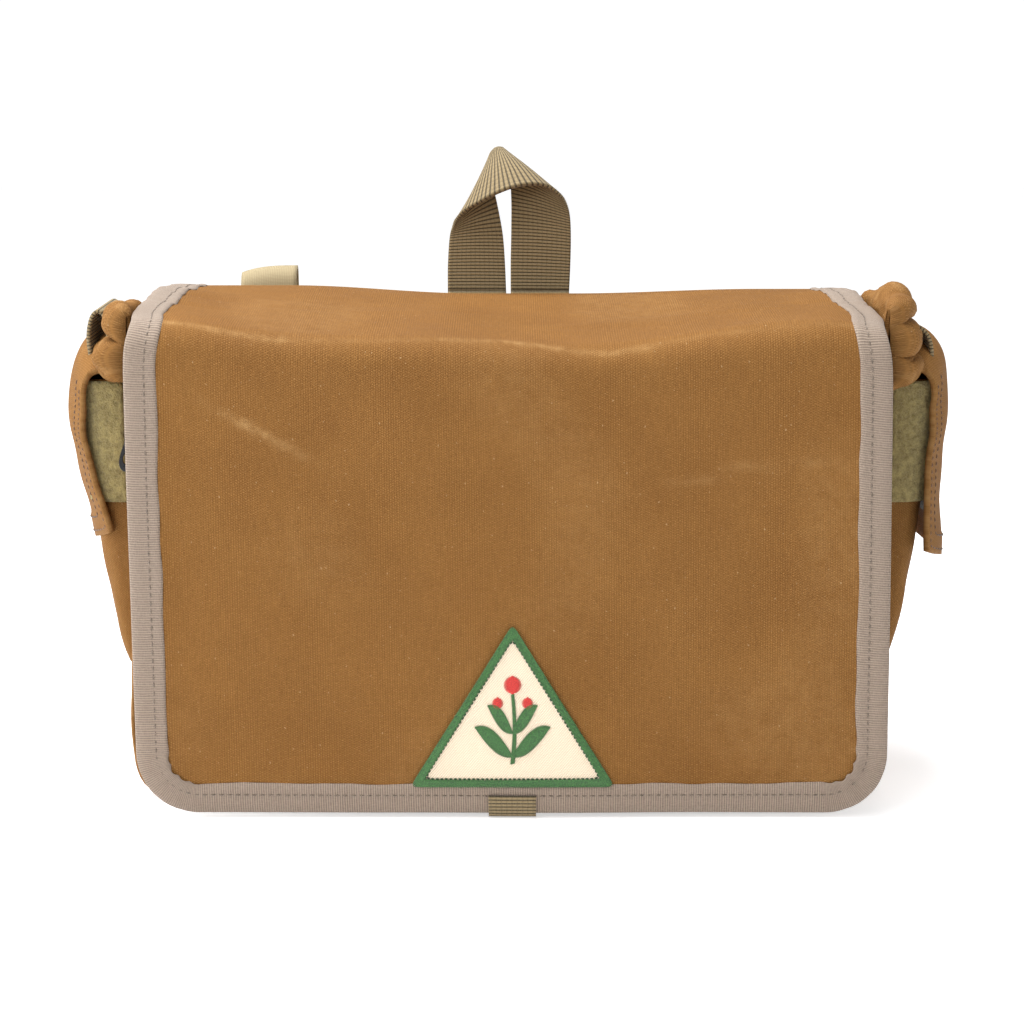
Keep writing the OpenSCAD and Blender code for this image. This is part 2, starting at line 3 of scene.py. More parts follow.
import bmesh
import bpy
import numpy as np
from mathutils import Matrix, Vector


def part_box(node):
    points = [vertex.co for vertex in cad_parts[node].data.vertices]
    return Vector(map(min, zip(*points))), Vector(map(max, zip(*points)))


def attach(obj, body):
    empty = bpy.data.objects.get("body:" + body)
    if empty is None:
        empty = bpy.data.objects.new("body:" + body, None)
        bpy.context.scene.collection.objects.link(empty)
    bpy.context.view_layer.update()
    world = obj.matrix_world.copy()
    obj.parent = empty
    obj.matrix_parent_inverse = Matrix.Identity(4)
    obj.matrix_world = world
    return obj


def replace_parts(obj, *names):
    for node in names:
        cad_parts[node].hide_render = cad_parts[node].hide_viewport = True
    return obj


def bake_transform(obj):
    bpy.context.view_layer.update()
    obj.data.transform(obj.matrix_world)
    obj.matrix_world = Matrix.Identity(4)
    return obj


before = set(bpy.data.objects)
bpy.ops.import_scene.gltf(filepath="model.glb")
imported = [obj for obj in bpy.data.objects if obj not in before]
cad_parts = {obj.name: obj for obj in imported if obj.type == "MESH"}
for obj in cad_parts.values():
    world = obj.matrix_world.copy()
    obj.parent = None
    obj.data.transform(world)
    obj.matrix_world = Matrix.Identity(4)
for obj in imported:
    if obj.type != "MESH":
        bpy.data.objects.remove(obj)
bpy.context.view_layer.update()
MM = 0.001

# --- Stage -------------------------------------------------------------------------------
# A white sweep, a soft overhead light and a camera a metre in front of the flap, looking
# down by about ten degrees.
HORIZON_TILT = math.radians(9.62)
camera_data = bpy.data.cameras.new("camera")
camera_data.lens = 90
camera_data.sensor_width = 36
camera_data.clip_end = 20
camera = bpy.data.objects.new("camera", camera_data)
camera.location = (0.0016, -1.077, 0.293)
camera.rotation_euler = (math.pi / 2 - HORIZON_TILT, 0, 0)
bpy.context.collection.objects.link(camera)
bpy.context.scene.camera = camera
bpy.context.scene.view_settings.view_transform = "Standard"


def area_light(name, place, target, size, power):
    """A square soft box at a place, turned to face a target."""
    data = bpy.data.lights.new(name, "AREA")
    data.shape = "SQUARE"
    data.size = size
    data.energy = power
    lamp = bpy.data.objects.new(name, data)
    lamp.location = place
    away = np.array(place) - np.array(target)
    flat = math.hypot(away[0], away[1])
    lamp.rotation_euler = (math.atan2(flat, away[2]), 0, math.atan2(away[0], -away[1]))
    bpy.context.collection.objects.link(lamp)


area_light("top_box", (-0.3, 0.0, 1.2), (0, 0, 0.1), 1.1, 23)
area_light("front_box", (-0.75, -1.2, 0.95), (0, 0, 0.1), 0.9, 6.5)
area_light("left_box", (-1.3, -0.1, 0.6), (0, 0, 0.1), 0.8, 9)
area_light("right_box", (1.3, -0.1, 0.7), (0, 0, 0.1), 0.9, 1.6)
world = bpy.data.worlds.new("white")
world.use_nodes = True
bpy.context.scene.world = world


def build(tree, kind, sockets=None, **settings):
    """One shader node: its settings, then its inputs, each a value or another node's output."""
    made = tree.nodes.new(kind)
    for key, value in settings.items():
        setattr(made, key, value)
    for key, value in (sockets or {}).items():
        if isinstance(value, bpy.types.NodeSocket):
            tree.links.new(value, made.inputs[key])
        else:
            made.inputs[key].default_value = value
    return made


def material(name, roughness, colour=(0.5, 0.5, 0.5), sheen=0.0, metallic=0.0, specular=0.5):
    """A Principled material with its even values on its own sockets; returns it and its tree."""
    made = bpy.data.materials.new(name)
    made.use_nodes = True
    shader = made.node_tree.nodes["Principled BSDF"]
    shader.inputs["Roughness"].default_value = roughness
    shader.inputs["Base Color"].default_value = (*colour, 1)
    shader.inputs["Sheen Weight"].default_value = sheen
    shader.inputs["Sheen Roughness"].default_value = 0.5
    shader.inputs["Metallic"].default_value = metallic
    shader.inputs["Specular IOR Level"].default_value = specular
    return made, made.node_tree, shader


def surface_point(tree):
    """Where a point lies in the piece's own space, in metres."""
    return build(tree, "ShaderNodeTexCoord").outputs["Object"]


def raise_by(tree, shader, height, strength, depth):
    """Lets a pattern lift and lower the surface by a depth in metres."""
    bump = build(tree, "ShaderNodeBump", {"Height": height, "Strength": strength, "Distance": depth})
    tree.links.new(bump.outputs["Normal"], shader.inputs["Normal"])


background = world.node_tree.nodes["Background"]
seen = build(world.node_tree, "ShaderNodeLightPath").outputs["Is Camera Ray"]
strength = build(world.node_tree, "ShaderNodeMapRange", {"Value": seen, "To Min": 0.5, "To Max": 1.05})
background.inputs["Color"].default_value = (1, 1, 1, 1)
world.node_tree.links.new(strength.outputs["Result"], background.inputs["Strength"])


def place_mesh(name, mesh):
    """A mesh as an object of the scene, standing at the origin."""
    made = bpy.data.objects.new(name, mesh)
    bpy.context.collection.objects.link(made)
    return made


def floor_piece():
    """A wide square at the height that the bag stands on, plain white and softly lit from
    below, as a light table is."""
    mesh = bpy.data.meshes.new("floor")
    reach = 6.0
    mesh.from_pydata([(-reach, -reach, 0), (reach, -reach, 0), (reach, reach, 0), (-reach, reach, 0)],
                     [], [(0, 1, 2, 3)])
    made = place_mesh("floor", mesh)
    white, tree, shader = material("floor_white", 0.9, (0.9, 0.9, 0.91), specular=0.1)
    shader.inputs["Emission Color"].default_value = (1, 1, 1, 1)
    seen = build(tree, "ShaderNodeLightPath").outputs["Is Camera Ray"]
    glow = build(tree, "ShaderNodeMapRange", {"Value": seen, "To Min": 0.25, "To Max": 0.55})
    tree.links.new(glow.outputs["Result"], shader.inputs["Emission Strength"])
    mesh.materials.append(white)


floor_piece()

# --- Flap canvas -------------------------------------------------------------------------
# One length of waxed cotton duck, lined, that runs from the bag's rear edge over the top
# and down the front. It is folded over the crest by hand, and sags between its ends.
def corners_of(node):
    """The lowest and highest corner of a node's box, in millimetres."""
    return np.array(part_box(node)) / MM


top_low, top_high = corners_of("flap_top_panel")
binding_low, binding_high = corners_of("flap_front_binding")
FLAP_HALF = binding_high[0]
FLAP_BOTTOM = binding_low[2] - 0.8
FLAP_T = top_high[2] - top_low[2]
CREST_Z = top_high[2]
CREST_Y = corners_of("flap_crest_bend")[1][1]
FRONT_Y = corners_of("flap_front_panel")[0][1]
SEAM_Y = top_high[1] - 4
BACK_HALF = corners_of("flap_back_bend")[1][0]
CREST_R = CREST_Y - FRONT_Y + 1.5
CORNER_R = 25.0
FLAP_TAPER = 1.1
FLAP_SKEW = 1.7
TOP_RUN = SEAM_Y - CREST_Y
BEND_RUN = CREST_R * math.pi / 2
FRONT_RUN = CREST_Z - CREST_R - FLAP_BOTTOM
FLAP_RUN = TOP_RUN + BEND_RUN + FRONT_RUN


def ripple(a, b, seed, wave, size):
    """Soft, repeatable unevenness: the mean of nine sine waves of two variables, each of its
    own direction, phase and a wavelength near wave, times size."""
    draw = np.random.default_rng(seed)
    total = 0
    for _ in range(9):
        turn, phase = draw.uniform(0, 2 * math.pi, 2)
        pitch = wave * draw.uniform(0.6, 1.7)
        total = total + np.sin(2 * math.pi * (a * math.cos(turn) + b * math.sin(turn)) / pitch + phase)
    return size * total / 3


def smooth_step(x, low, high):
    """Rises from 0 at low to 1 at high with level ends."""
    t = np.clip((x - low) / (high - low), 0, 1)
    return t * t * (3 - 2 * t)


def crest_height(x):
    """Outside height of the crest: highest at the left end, lowest in the middle."""
    t = x / FLAP_HALF
    left, right = np.clip(-t, 0, 1) ** 1.5, smooth_step(t, 0.12, 0.8)
    corner = smooth_step(np.abs(t), 0.84, 1)
    dent = np.exp(-((x - 15) / 26) ** 2) - 0.7 * np.exp(-((x + 34) / 20) ** 2)
    return (CREST_Z - 8.4 + 12.2 * left + 8.6 * right - 2.8 * corner - 0.9 * dent
            + ripple(x, 0 * x, 3, 120, 0.8))


def flap_point(x, s):
    """The flap's middle surface at x across and s along from its rear seam: level on top,
    a quarter round of radius CREST_R at the crest, then upright to the lower edge, where it
    curls back a little."""
    x, s = np.broadcast_arrays(np.asarray(x, float), np.asarray(s, float))
    crest = crest_height(x)
    along = np.clip(s / TOP_RUN, 0, 1)
    rear = CREST_Z + 0.2 + 3.6 * smooth_step(-x, 15, 95) + 2.0 * smooth_step(x, 30, 110)
    y_top = SEAM_Y - s
    waves = ripple(x, s, 5, 80, 1.0) + ripple(x, 3 * s, 6, 45, 0.4)
    z_top = rear + (crest - rear) * along ** 1.5 + waves * np.sin(math.pi * along)
    z_top = z_top + 3.2 * smooth_step(np.abs(x), 112, 150) * np.sin(math.pi * along ** 0.8) ** 1.2
    turn = np.clip((s - TOP_RUN) / CREST_R, 0, math.pi / 2)
    y_bend = CREST_Y - CREST_R * np.sin(turn)
    z_bend = crest - CREST_R * (1 - np.cos(turn))
    down = np.clip(s - TOP_RUN - BEND_RUN, 0, None)
    share = down / FRONT_RUN
    hang = (crest - CREST_R - FLAP_BOTTOM) / FRONT_RUN
    belly = 6.5 * np.clip(share, 0, 1) ** 0.8 + 1.5 * np.sin(math.pi * np.clip(share, 0, 1))
    curl = 3.0 * np.clip((share - 0.92) / 0.08, 0, 1.1) ** 2
    y_front = CREST_Y - CREST_R - belly + curl + ripple(x, s, 9, 120, 0.45) * smooth_step(share, 0, 0.2)
    on_top, on_front = s < TOP_RUN, s > TOP_RUN + BEND_RUN
    y = np.where(on_top, y_top, np.where(on_front, y_front, y_bend))
    z = np.where(on_top, z_top, np.where(on_front, z_bend - down * hang, z_bend))
    return np.stack([x + FLAP_SKEW * np.clip(share, 0, 1), y, z], axis=-1)


def flap_normal(x, s):
    """Outward unit normal of flap_point, from central differences half a millimetre wide."""
    across = flap_point(x + 0.5, s) - flap_point(x - 0.5, s)
    along = flap_point(x, s + 0.5) - flap_point(x, s - 0.5)
    n = np.cross(along, across)
    return n / np.linalg.norm(n, axis=-1, keepdims=True)


def half_width(s):
    """Half the flap's width at s: narrower at the rear, and round at the two lower corners."""
    side = BACK_HALF + (FLAP_HALF - BACK_HALF) * np.clip(s / TOP_RUN, 0, 1)
    side = side - 2.2 * np.exp(-((s - TOP_RUN - 4) / 11) ** 2)
    side = side - FLAP_TAPER * np.clip((s - TOP_RUN - BEND_RUN) / FRONT_RUN, 0, 1)
    low = np.clip(CORNER_R - (FLAP_RUN - s), 0, CORNER_R)
    return side - CORNER_R + np.sqrt(np.clip(CORNER_R ** 2 - low ** 2, 0, None))


def grid_piece(name, points, uv, flip=False, wear=None):
    """A piece from a grid of points in millimetres, with its own UV map in millimetres and,
    where given, a wear value at each point or one for all of them."""
    rows, cols = points.shape[:2]
    index = np.arange(rows * cols).reshape(rows, cols)
    quads = np.stack([index[:-1, :-1], index[1:, :-1], index[1:, 1:], index[:-1, 1:]], -1).reshape(-1, 4)
    if flip:
        quads = quads[:, ::-1]
    mesh = bpy.data.meshes.new(name)
    mesh.from_pydata((points.reshape(-1, 3) * MM).tolist(), [], quads.tolist())
    layer = mesh.uv_layers.new(name="weave")
    layer.data.foreach_set("uv", uv.reshape(-1, 2)[quads.ravel()].astype(np.float32).ravel())
    mesh.polygons.foreach_set("use_smooth", np.ones(len(quads), bool))
    if wear is not None:
        mesh.attributes.new("wear", "FLOAT", "POINT").data.foreach_set(
            "value", np.broadcast_to(wear, (rows, cols)).astype(np.float32).ravel())
    return place_mesh(name, mesh)


def spread(across, along):
    """A grid of (u, v) from one value for each column and one for each row."""
    return np.stack(np.broadcast_arrays(across[None, :], along[:, None]), -1)


def thicken(piece, thickness, offset=0.0):
    """Gives a sheet its wall; offset -1 lays it inside the surface."""
    wall = piece.modifiers.new("wall", "SOLIDIFY")
    wall.thickness = thickness * MM
    wall.offset = offset
    wall.use_even_offset = False
    return piece


def finish_piece(piece, look, body=None):
    """Gives a piece its material and lets it ride on a body."""
    piece.data.materials.append(look)
    if body:
        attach(piece, body)
    return piece


def woven_uv(tree):
    """The piece's own weave coordinates, in millimetres."""
    return build(tree, "ShaderNodeUVMap", uv_map="weave").outputs["UV"]


def stretched(tree, vector, scale, turn=0.0):
    """The same coordinates, scaled on each axis and turned."""
    return build(tree, "ShaderNodeMapping",
                 {"Vector": vector, "Scale": scale, "Rotation": (0, 0, turn)}).outputs["Vector"]


def noise(tree, vector, scale, detail=2.0, roughness=0.5):
    """Cloudy unevenness from 0 to 1; the larger the scale, the finer."""
    return build(tree, "ShaderNodeTexNoise",
                 {"Vector": vector, "Scale": scale, "Detail": detail, "Roughness": roughness}
                 ).outputs["Fac"]


def bands(tree, vector, pitch, direction="X", distortion=0.0):
    """Even ribs with this pitch in millimetres."""
    return build(tree, "ShaderNodeTexWave",
                 {"Vector": vector, "Scale": 2 * math.pi / 20 / pitch, "Distortion": distortion},
                 bands_direction=direction).outputs["Fac"]


def ramp(tree, factor, low, high, value_low=0.0, value_high=1.0):
    """Turns the range low to high into value_low to value_high, and holds its ends."""
    return build(tree, "ShaderNodeMapRange",
                 {"Value": factor, "From Min": low, "From Max": high, "To Min": value_low,
                  "To Max": value_high}).outputs["Result"]


def math_node(tree, kind, a, b):
    """Two values multiplied or added."""
    return build(tree, "ShaderNodeMath", {0: a, 1: b}, operation=kind).outputs[0]


def blend_colour(tree, factor, a, b):
    """Colour a where the factor is 0, and b where it is 1."""
    made = tree.nodes.new("ShaderNodeMix")
    made.data_type = "RGBA"
    for socket, value in ((made.inputs[0], factor), (made.inputs[6], a), (made.inputs[7], b)):
        if isinstance(value, bpy.types.NodeSocket):
            tree.links.new(value, socket)
        else:
            socket.default_value = value
    return made.outputs[2]


def canvas_material():
    """Waxed duck: brown with soft waxy mottling, an upright grain, pale flecks and scuffs, a painted
    highlight along the flap's crest, and a weave of staggered knuckles that lifts the surface."""
    made, tree, shader = material("waxed_canvas", 0.75, specular=0.07)
    at = woven_uv(tree)
    mottle = noise(tree, at, 0.02, 5, 0.6)
    colour = blend_colour(tree, ramp(tree, mottle, 0.33, 0.7), (0.215, 0.096, 0.024, 1), (0.275, 0.13, 0.036, 1))
    grain = noise(tree, stretched(tree, at, (1.6, 0.10, 1)), 1.0, 3, 0.65)
    colour = blend_colour(tree, ramp(tree, grain, 0.35, 0.7, 0, 0.5), colour, (0.15, 0.063, 0.017, 1))
    warp = bands(tree, at, 0.98, "X", 0.25)
    slant = [bands(tree, stretched(tree, at, (1, 1, 1), turn), 0.885, "X", 0.3) for turn in (1.086, -1.086)]
    weave = math_node(tree, "MULTIPLY", *slant)
    colour = blend_colour(tree, ramp(tree, warp, 0.0, 1.0, 0.42, 0.0), colour, (0.115, 0.046, 0.012, 1))
    yarn = noise(tree, stretched(tree, at, (1.05, 1.5, 1)), 1.0, 2, 0.8)
    bright = math_node(tree, "MULTIPLY", weave, ramp(tree, yarn, 0.36, 0.66, 0, 1.0))
    colour = blend_colour(tree, math_node(tree, "MULTIPLY", bright, 0.62), colour, (0.5, 0.275, 0.095, 1))
    fleck = noise(tree, stretched(tree, at, (0.8, 0.45, 1)), 1.2, 1, 0.4)
    colour = blend_colour(tree, ramp(tree, fleck, 0.74, 0.8, 0, 0.4), colour, (0.62, 0.43, 0.23, 1))
    # Paler where the wear attribute is high: worn cloth, and along the flap's crest also a painted highlight.
    worn = build(tree, "ShaderNodeAttribute", attribute_name="wear").outputs["Fac"]
    broken = ramp(tree, noise(tree, at, 0.16, 4, 0.7), 0.3, 0.65)
    colour = blend_colour(tree, math_node(tree, "MULTIPLY", worn, broken), colour, (0.47, 0.28, 0.115, 1))
    tree.links.new(colour, shader.inputs["Base Color"])
    tree.links.new(ramp(tree, mottle, 0.3, 0.7, 0.6, 0.78), shader.inputs["Roughness"])
    relief = math_node(tree, "ADD", weave, math_node(tree, "MULTIPLY", grain, 0.5))
    soft = math_node(tree, "ADD", relief, math_node(tree, "MULTIPLY", noise(tree, at, 0.09, 3), 1.2))
    raise_by(tree, shader, soft, 0.5, 0.0004)
    return made


canvas = canvas_material()


def flap_wear_and_highlight(x, s):
    """Where the cloth is paler: a line along the crest that is partly broken wax and partly a painted
    highlight, and, where wax has broken, two crossing creases and a slanting scuff high on the left."""
    front = s - TOP_RUN - BEND_RUN
    # A pale line along the crest: partly wax wear, partly a painted highlight where the flap turns from top to
    # front.
    crest = np.exp(-((s - TOP_RUN - 6 + ripple(x, 0 * x, 21, 60, 2.2)) / 1.6) ** 2) * 0.5
    crest = crest * (0.35 + 0.65 * smooth_step(ripple(x, 0 * x, 22, 50, 1), -0.2, 0.5))
    drop = front - 18 - 0.45 * (x + 118)
    scuff = np.exp(-(drop / 1.8) ** 2) * np.exp(-((x + 97) / 16) ** 2) * 0.75
    haze = 0.13 * smooth_step(ripple(x, s, 24, 90, 1), 0.1, 1.1)
    fold = 0.35 * np.exp(-((front - 55 + 0.12 * x + ripple(x, s, 25, 45, 2)) / 1.3) ** 2)
    fold = fold * np.exp(-((x - 95) / 30) ** 2)
    return np.clip(crest + scuff + haze + fold, 0, 1)


rows = np.concatenate([np.linspace(0, TOP_RUN, 40)[:-1],
                       np.linspace(TOP_RUN, TOP_RUN + BEND_RUN, 14)[:-1],
                       np.linspace(TOP_RUN + BEND_RUN, FLAP_RUN - CORNER_R, 46)[:-1],
                       FLAP_RUN - CORNER_R * (1 - np.sin(np.linspace(0, math.pi / 2, 16)))])
INSET = 0.8
across = np.linspace(-1, 1, 97)
s_grid = np.repeat((rows - INSET * rows / FLAP_RUN)[:, None], len(across), 1)
x_grid = across[None, :] * (half_width(rows) - INSET)[:, None]
# Its wear values hold the painted highlight along the crest as well as real wear.
flap_canvas = grid_piece("flap_canvas", flap_point(x_grid, s_grid),
                         np.stack([x_grid, -s_grid], -1), wear=flap_wear_and_highlight(x_grid, s_grid))
thicken(flap_canvas, FLAP_T * 0.85)
finish_piece(flap_canvas, canvas)
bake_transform(flap_canvas)
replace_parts(flap_canvas, "flap_front_panel", "flap_crest_bend", "flap_top_panel")

# --- Rear fold of the flap ---------------------------------------------------------------
# The flap's own canvas, turned down over the bag's rear edge in a soft roll and stitched
# flat to the back panel.
root_low, root_high = corners_of("flap_root_strip")
ROOT_Y = root_high[1] - FLAP_T / 2
ROOT_FOOT, ROOT_TOP = root_low[2], root_high[2]
REAR_R = 6.3


def rear_point(x, s):
    """From the root strip's foot upright, a quarter round forward, then level to the seam."""
    x, s = np.broadcast_arrays(np.asarray(x, float), np.asarray(s, float))
    upright = ROOT_TOP - ROOT_FOOT
    turn = np.clip((s - upright) / REAR_R, 0, math.pi / 2)
    level = np.clip(s - upright - REAR_R * math.pi / 2, 0, None)
    y = ROOT_Y - REAR_R * (1 - np.cos(turn)) - level
    z = ROOT_FOOT + np.clip(s, 0, upright) + REAR_R * np.sin(turn)
    rise = flap_point(x, 0)[..., 2] - (ROOT_TOP + REAR_R)
    z = z + rise * smooth_step(s, upright * 0.6, upright + REAR_R * math.pi / 2)
    return np.stack([x, y, z], axis=-1)


REAR_RUN = (ROOT_TOP - ROOT_FOOT) + REAR_R * math.pi / 2 + (ROOT_Y - REAR_R - SEAM_Y)
s_rear = np.linspace(0, REAR_RUN, 34)[:, None]
x_rear = np.linspace(-BACK_HALF + 0.5, BACK_HALF - 0.5, 97)[None, :]
flap_rear = grid_piece("flap_rear_fold", rear_point(x_rear, s_rear),
                       np.stack(np.broadcast_arrays(x_rear, REAR_RUN - s_rear), -1),
                       wear=0.15)
thicken(flap_rear, FLAP_T * 0.85)
finish_piece(flap_rear, canvas)
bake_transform(flap_rear)
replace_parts(flap_rear, "flap_root_strip", "flap_back_bend")

# --- Edge binding ------------------------------------------------------------------------
# Taupe grosgrain folded in half over the flap's raw edge and sewn down with one line of
# thread, eased round the two lower corners so that its inner edge puckers.
BINDING_W = 13.0
BINDING_T = 0.7


def edge_path(inset, count_side=150, count_corner=26, count_bottom=140):
    """The flap's outline in (x, s), inset by a distance: down the left side, round the corner,
    along the bottom and up the right side."""
    s_side = np.linspace(0, FLAP_RUN - CORNER_R, count_side)
    x_side = half_width(s_side)
    r = CORNER_R
    turn = np.linspace(0, math.pi / 2, count_corner + 2)[1:-1]
    s_corner = FLAP_RUN - r + r * np.sin(turn)
    x_corner = half_width(s_corner)
    foot = half_width(np.array(FLAP_RUN))
    x_low = np.linspace(-foot, foot, count_bottom)
    x = np.concatenate([-x_side, -x_corner, x_low, x_corner[::-1], x_side[::-1]])
    s = np.concatenate([s_side, s_corner, np.full(count_bottom, FLAP_RUN), s_corner[::-1], s_side[::-1]])
    dx, ds = np.gradient(x), np.gradient(s)
    size = np.hypot(dx, ds)
    return x + inset * ds / size, s - inset * dx / size


def path_length(points):
    """Distance along a run of points from its first."""
    step = np.linalg.norm(np.diff(points, axis=0), axis=-1)
    return np.concatenate([[0], np.cumsum(step)])


edge_x, edge_s = edge_path(0)
EDGE_RUN = path_length(np.stack([edge_x, edge_s], -1))
corner_ease = np.exp(-((np.abs(edge_x) - (FLAP_HALF - 8)) / 14) ** 2) * smooth_step(
    edge_s, FLAP_RUN - 45, FLAP_RUN - 10)


def binding_grid(stations):
    """The binding as a strip that wraps the edge: each station is an inset from the edge and
    a height over the flap's middle surface; its inner edge waves and its face puckers."""
    rows = []
    for inset, height, free in stations:
        wave = free * (0.45 * np.sin(EDGE_RUN / 5.1 + np.sin(EDGE_RUN / 17)) + 0.4 * np.sin(EDGE_RUN / 11.3))
        tuck = free * corner_ease * 1.6 * np.abs(np.sin(EDGE_RUN / 3.4))
        x, s = edge_path(inset + 0.5 * wave - 0.6 * tuck)
        lift = np.sign(height) * (free * 0.22 * np.sin(EDGE_RUN / 2.3 + np.sin(EDGE_RUN / 7))
                                  + 0.5 * tuck + corner_ease * 0.35 * np.abs(np.sin(EDGE_RUN / 3.4)))
        rows.append(flap_point(x, s) + flap_normal(x, s) * (height + lift)[:, None])
    return np.array(rows)


FACE = FLAP_T / 2 + BINDING_T * 0.55
SEWN_AT = 8.2
outer_half = [(BINDING_W, FACE - 0.35, 1.0), (BINDING_W - 1.0, FACE + 0.15, 0.9), (10.5, FACE + 0.3, 0.6),
              (SEWN_AT, FACE - 0.12, 0.1), (6, FACE + 0.25, 0.2), (3, FACE + 0.3, 0.15), (1.0, FACE + 0.1, 0.05),
              (0.25, FACE * 0.72, 0)]
inner_half = [(inset, -height, free) for inset, height, free in outer_half[::-1]]
binding_points = binding_grid(outer_half + [(0.0, 0.0, 0)] + inner_half)
binding_girth = path_length(binding_points[:, 60])


def grosgrain_material():
    """Taupe tape with close crosswise ribs, a little lighter on each rib."""
    made, tree, shader = material("grosgrain", 0.72, sheen=0.12, specular=0.25)
    at = woven_uv(tree)
    rib = bands(tree, at, 0.95, "X", 0.15)
    colour = blend_colour(tree, rib, (0.17, 0.128, 0.098, 1), (0.36, 0.277, 0.215, 1))
    cloud = noise(tree, at, 0.05, 3)
    colour = blend_colour(tree, ramp(tree, cloud, 0.35, 0.7, 0, 0.35), colour, (0.26, 0.20, 0.155, 1))
    thread = noise(tree, stretched(tree, at, (0.4, 3.0, 1)), 1.0, 2)
    colour = blend_colour(tree, ramp(tree, thread, 0.4, 0.75, 0, 0.3), colour, (0.46, 0.37, 0.29, 1))
    tree.links.new(colour, shader.inputs["Base Color"])
    height = math_node(tree, "ADD", rib, math_node(tree, "MULTIPLY", thread, 0.5))
    raise_by(tree, shader, height, 0.6, 0.0003)
    return made


grosgrain = grosgrain_material()
flap_binding = grid_piece("flap_binding", binding_points, spread(EDGE_RUN, binding_girth))
thicken(flap_binding, BINDING_T * 0.6, -1)
finish_piece(flap_binding, grosgrain)
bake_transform(flap_binding)
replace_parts(flap_binding, "flap_front_binding", "flap_top_binding")


def thread_material(name, colour, dark):
    """Spun thread: fine slanting strands, darker between them."""
    made, tree, shader = material(name, 0.55, sheen=0.2)
    at = surface_point(tree)
    strand = noise(tree, at, 2600, 2)
    tree.links.new(blend_colour(tree, ramp(tree, strand, 0.35, 0.65), dark, colour), shader.inputs["Base Color"])
    raise_by(tree, shader, strand, 0.5, 0.0001)
    return made


THREAD_RINGS, THREAD_SIDES = 5, 6


def stitch_piece(name, starts, ends, normals, width, look, slot, body=None, sink=0.25):
    """Stitches as short plump threads: each is a tube of six sides and five rings that
    swells in the middle and dips into the cloth at both ends by sink."""
    ring = np.linspace(-1, 1, THREAD_RINGS)
    turn = np.linspace(0, 2 * math.pi, THREAD_SIDES, endpoint=False)
    along = ends - starts
    length = np.linalg.norm(along, axis=-1, keepdims=True)
    forward = along / length
    side = np.cross(forward, normals)
    side /= np.linalg.norm(side, axis=-1, keepdims=True)
    up = np.cross(side, forward)
    middle, forward, side, up, length = (
        v[:, None, None] for v in ((starts + ends) / 2, forward, side, up, length))
    ring = ring[None, :, None, None]
    swell, arch = np.sqrt(1 - 0.88 * ring ** 2), -sink * ring ** 2
    height, reach = (f(turn)[None, None, :, None] for f in (np.sin, np.cos))
    p = (middle + forward * (ring * length / 2) + up * (arch + width * 0.42 * swell * height)
         + side * (width * 0.5 * swell * reach))
    index = np.arange(THREAD_RINGS * THREAD_SIDES).reshape(THREAD_RINGS, THREAD_SIDES)
    nxt = np.roll(index, -1, axis=1)
    quads = np.stack([index[:-1], nxt[:-1], nxt[1:], index[1:]], -1).reshape(-1, 4).tolist()
    caps = [index[0][::-1].tolist(), index[-1].tolist()]
    faces = [[v + index.size * k for v in f] for k in range(len(starts)) for f in quads + caps]
    mesh = bpy.data.meshes.new(name)
    mesh.from_pydata((p.reshape(-1, 3) * MM).tolist(), [], faces)
    mesh.polygons.foreach_set("use_smooth", np.ones(len(faces), bool))
    return finish_piece(place_mesh(name, mesh), look, body)


def facing_front(count):
    """The outward direction of the bag's front, once for each stitch."""
    return np.tile([0.0, -1.0, 0.0], (count, 1))


def along_path(points, distance):
    """Points at the given distances along a run of points."""
    run = path_length(points)
    return np.stack([np.interp(distance, run, points[:, k]) for k in range(points.shape[1])], -1)


def stitches_on_flap(name, flat_path, pitch, length, width, height, look, slot, side=1):
    """A line of stitches that follows a path on the flap, on its outer or inner face."""
    starts = np.arange(pitch, path_length(flat_path)[-1] - pitch, pitch)
    a, b = along_path(flat_path, starts), along_path(flat_path, starts + length)
    place = [flap_point(*p.T) + side * height * flap_normal(*p.T) for p in (a, b)]
    return stitch_piece(name, *place, side * flap_normal(*a.T), width, look, slot)


tan_thread = thread_material("taupe_thread", (0.27, 0.205, 0.15, 1), (0.06, 0.04, 0.026, 1))
for face, label in ((1, "outer"), (-1, "inner")):
    run = stitches_on_flap(f"binding_stitches_{label}", np.stack(edge_path(SEWN_AT), -1), 3.3, 2.3, 0.75,
                           FACE + 0.05, tan_thread, "binding", face)
    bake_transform(run)

# --- Woven patch -------------------------------------------------------------------------
# A triangle of cream twill with an overlocked green border. The embroidery is a plain
# seedling with two pairs of leaves and three berries, in satin stitch.
patch_low, patch_high = corners_of("patch_border")
PATCH_W = patch_high[0] - patch_low[0]
PATCH_H = patch_high[2] - patch_low[2]
PATCH_X = (patch_high[0] + patch_low[0]) / 2
PATCH_Z = patch_low[2]
BORDER_W = 3.2
PATCH_FACE = FACE + 0.55


def on_flap(x, z, height):
    """A point of the flap's front at a height above the floor, raised off its surface."""
    x, z = np.broadcast_arrays(np.asarray(x, float), np.asarray(z, float))
    crest = crest_height(x)
    hang = (crest - CREST_R - FLAP_BOTTOM) / FRONT_RUN
    s = TOP_RUN + BEND_RUN + (crest - CREST_R - z) / hang
    x = x - FLAP_SKEW * np.clip((s - TOP_RUN - BEND_RUN) / FRONT_RUN, 0, 1)
    return flap_point(x, s) + flap_normal(x, s) * np.asarray(height)[..., None]


def triangle(inset):
    """The patch's three corners, inset by a distance."""
    slope = math.atan2(PATCH_H, PATCH_W / 2)
    cut = inset / math.tan(slope / 2)
    return np.array([[-PATCH_W / 2 + cut, inset], [PATCH_W / 2 - cut, inset],
                     [0, PATCH_H - inset / math.cos(slope)]]) + [PATCH_X, PATCH_Z]


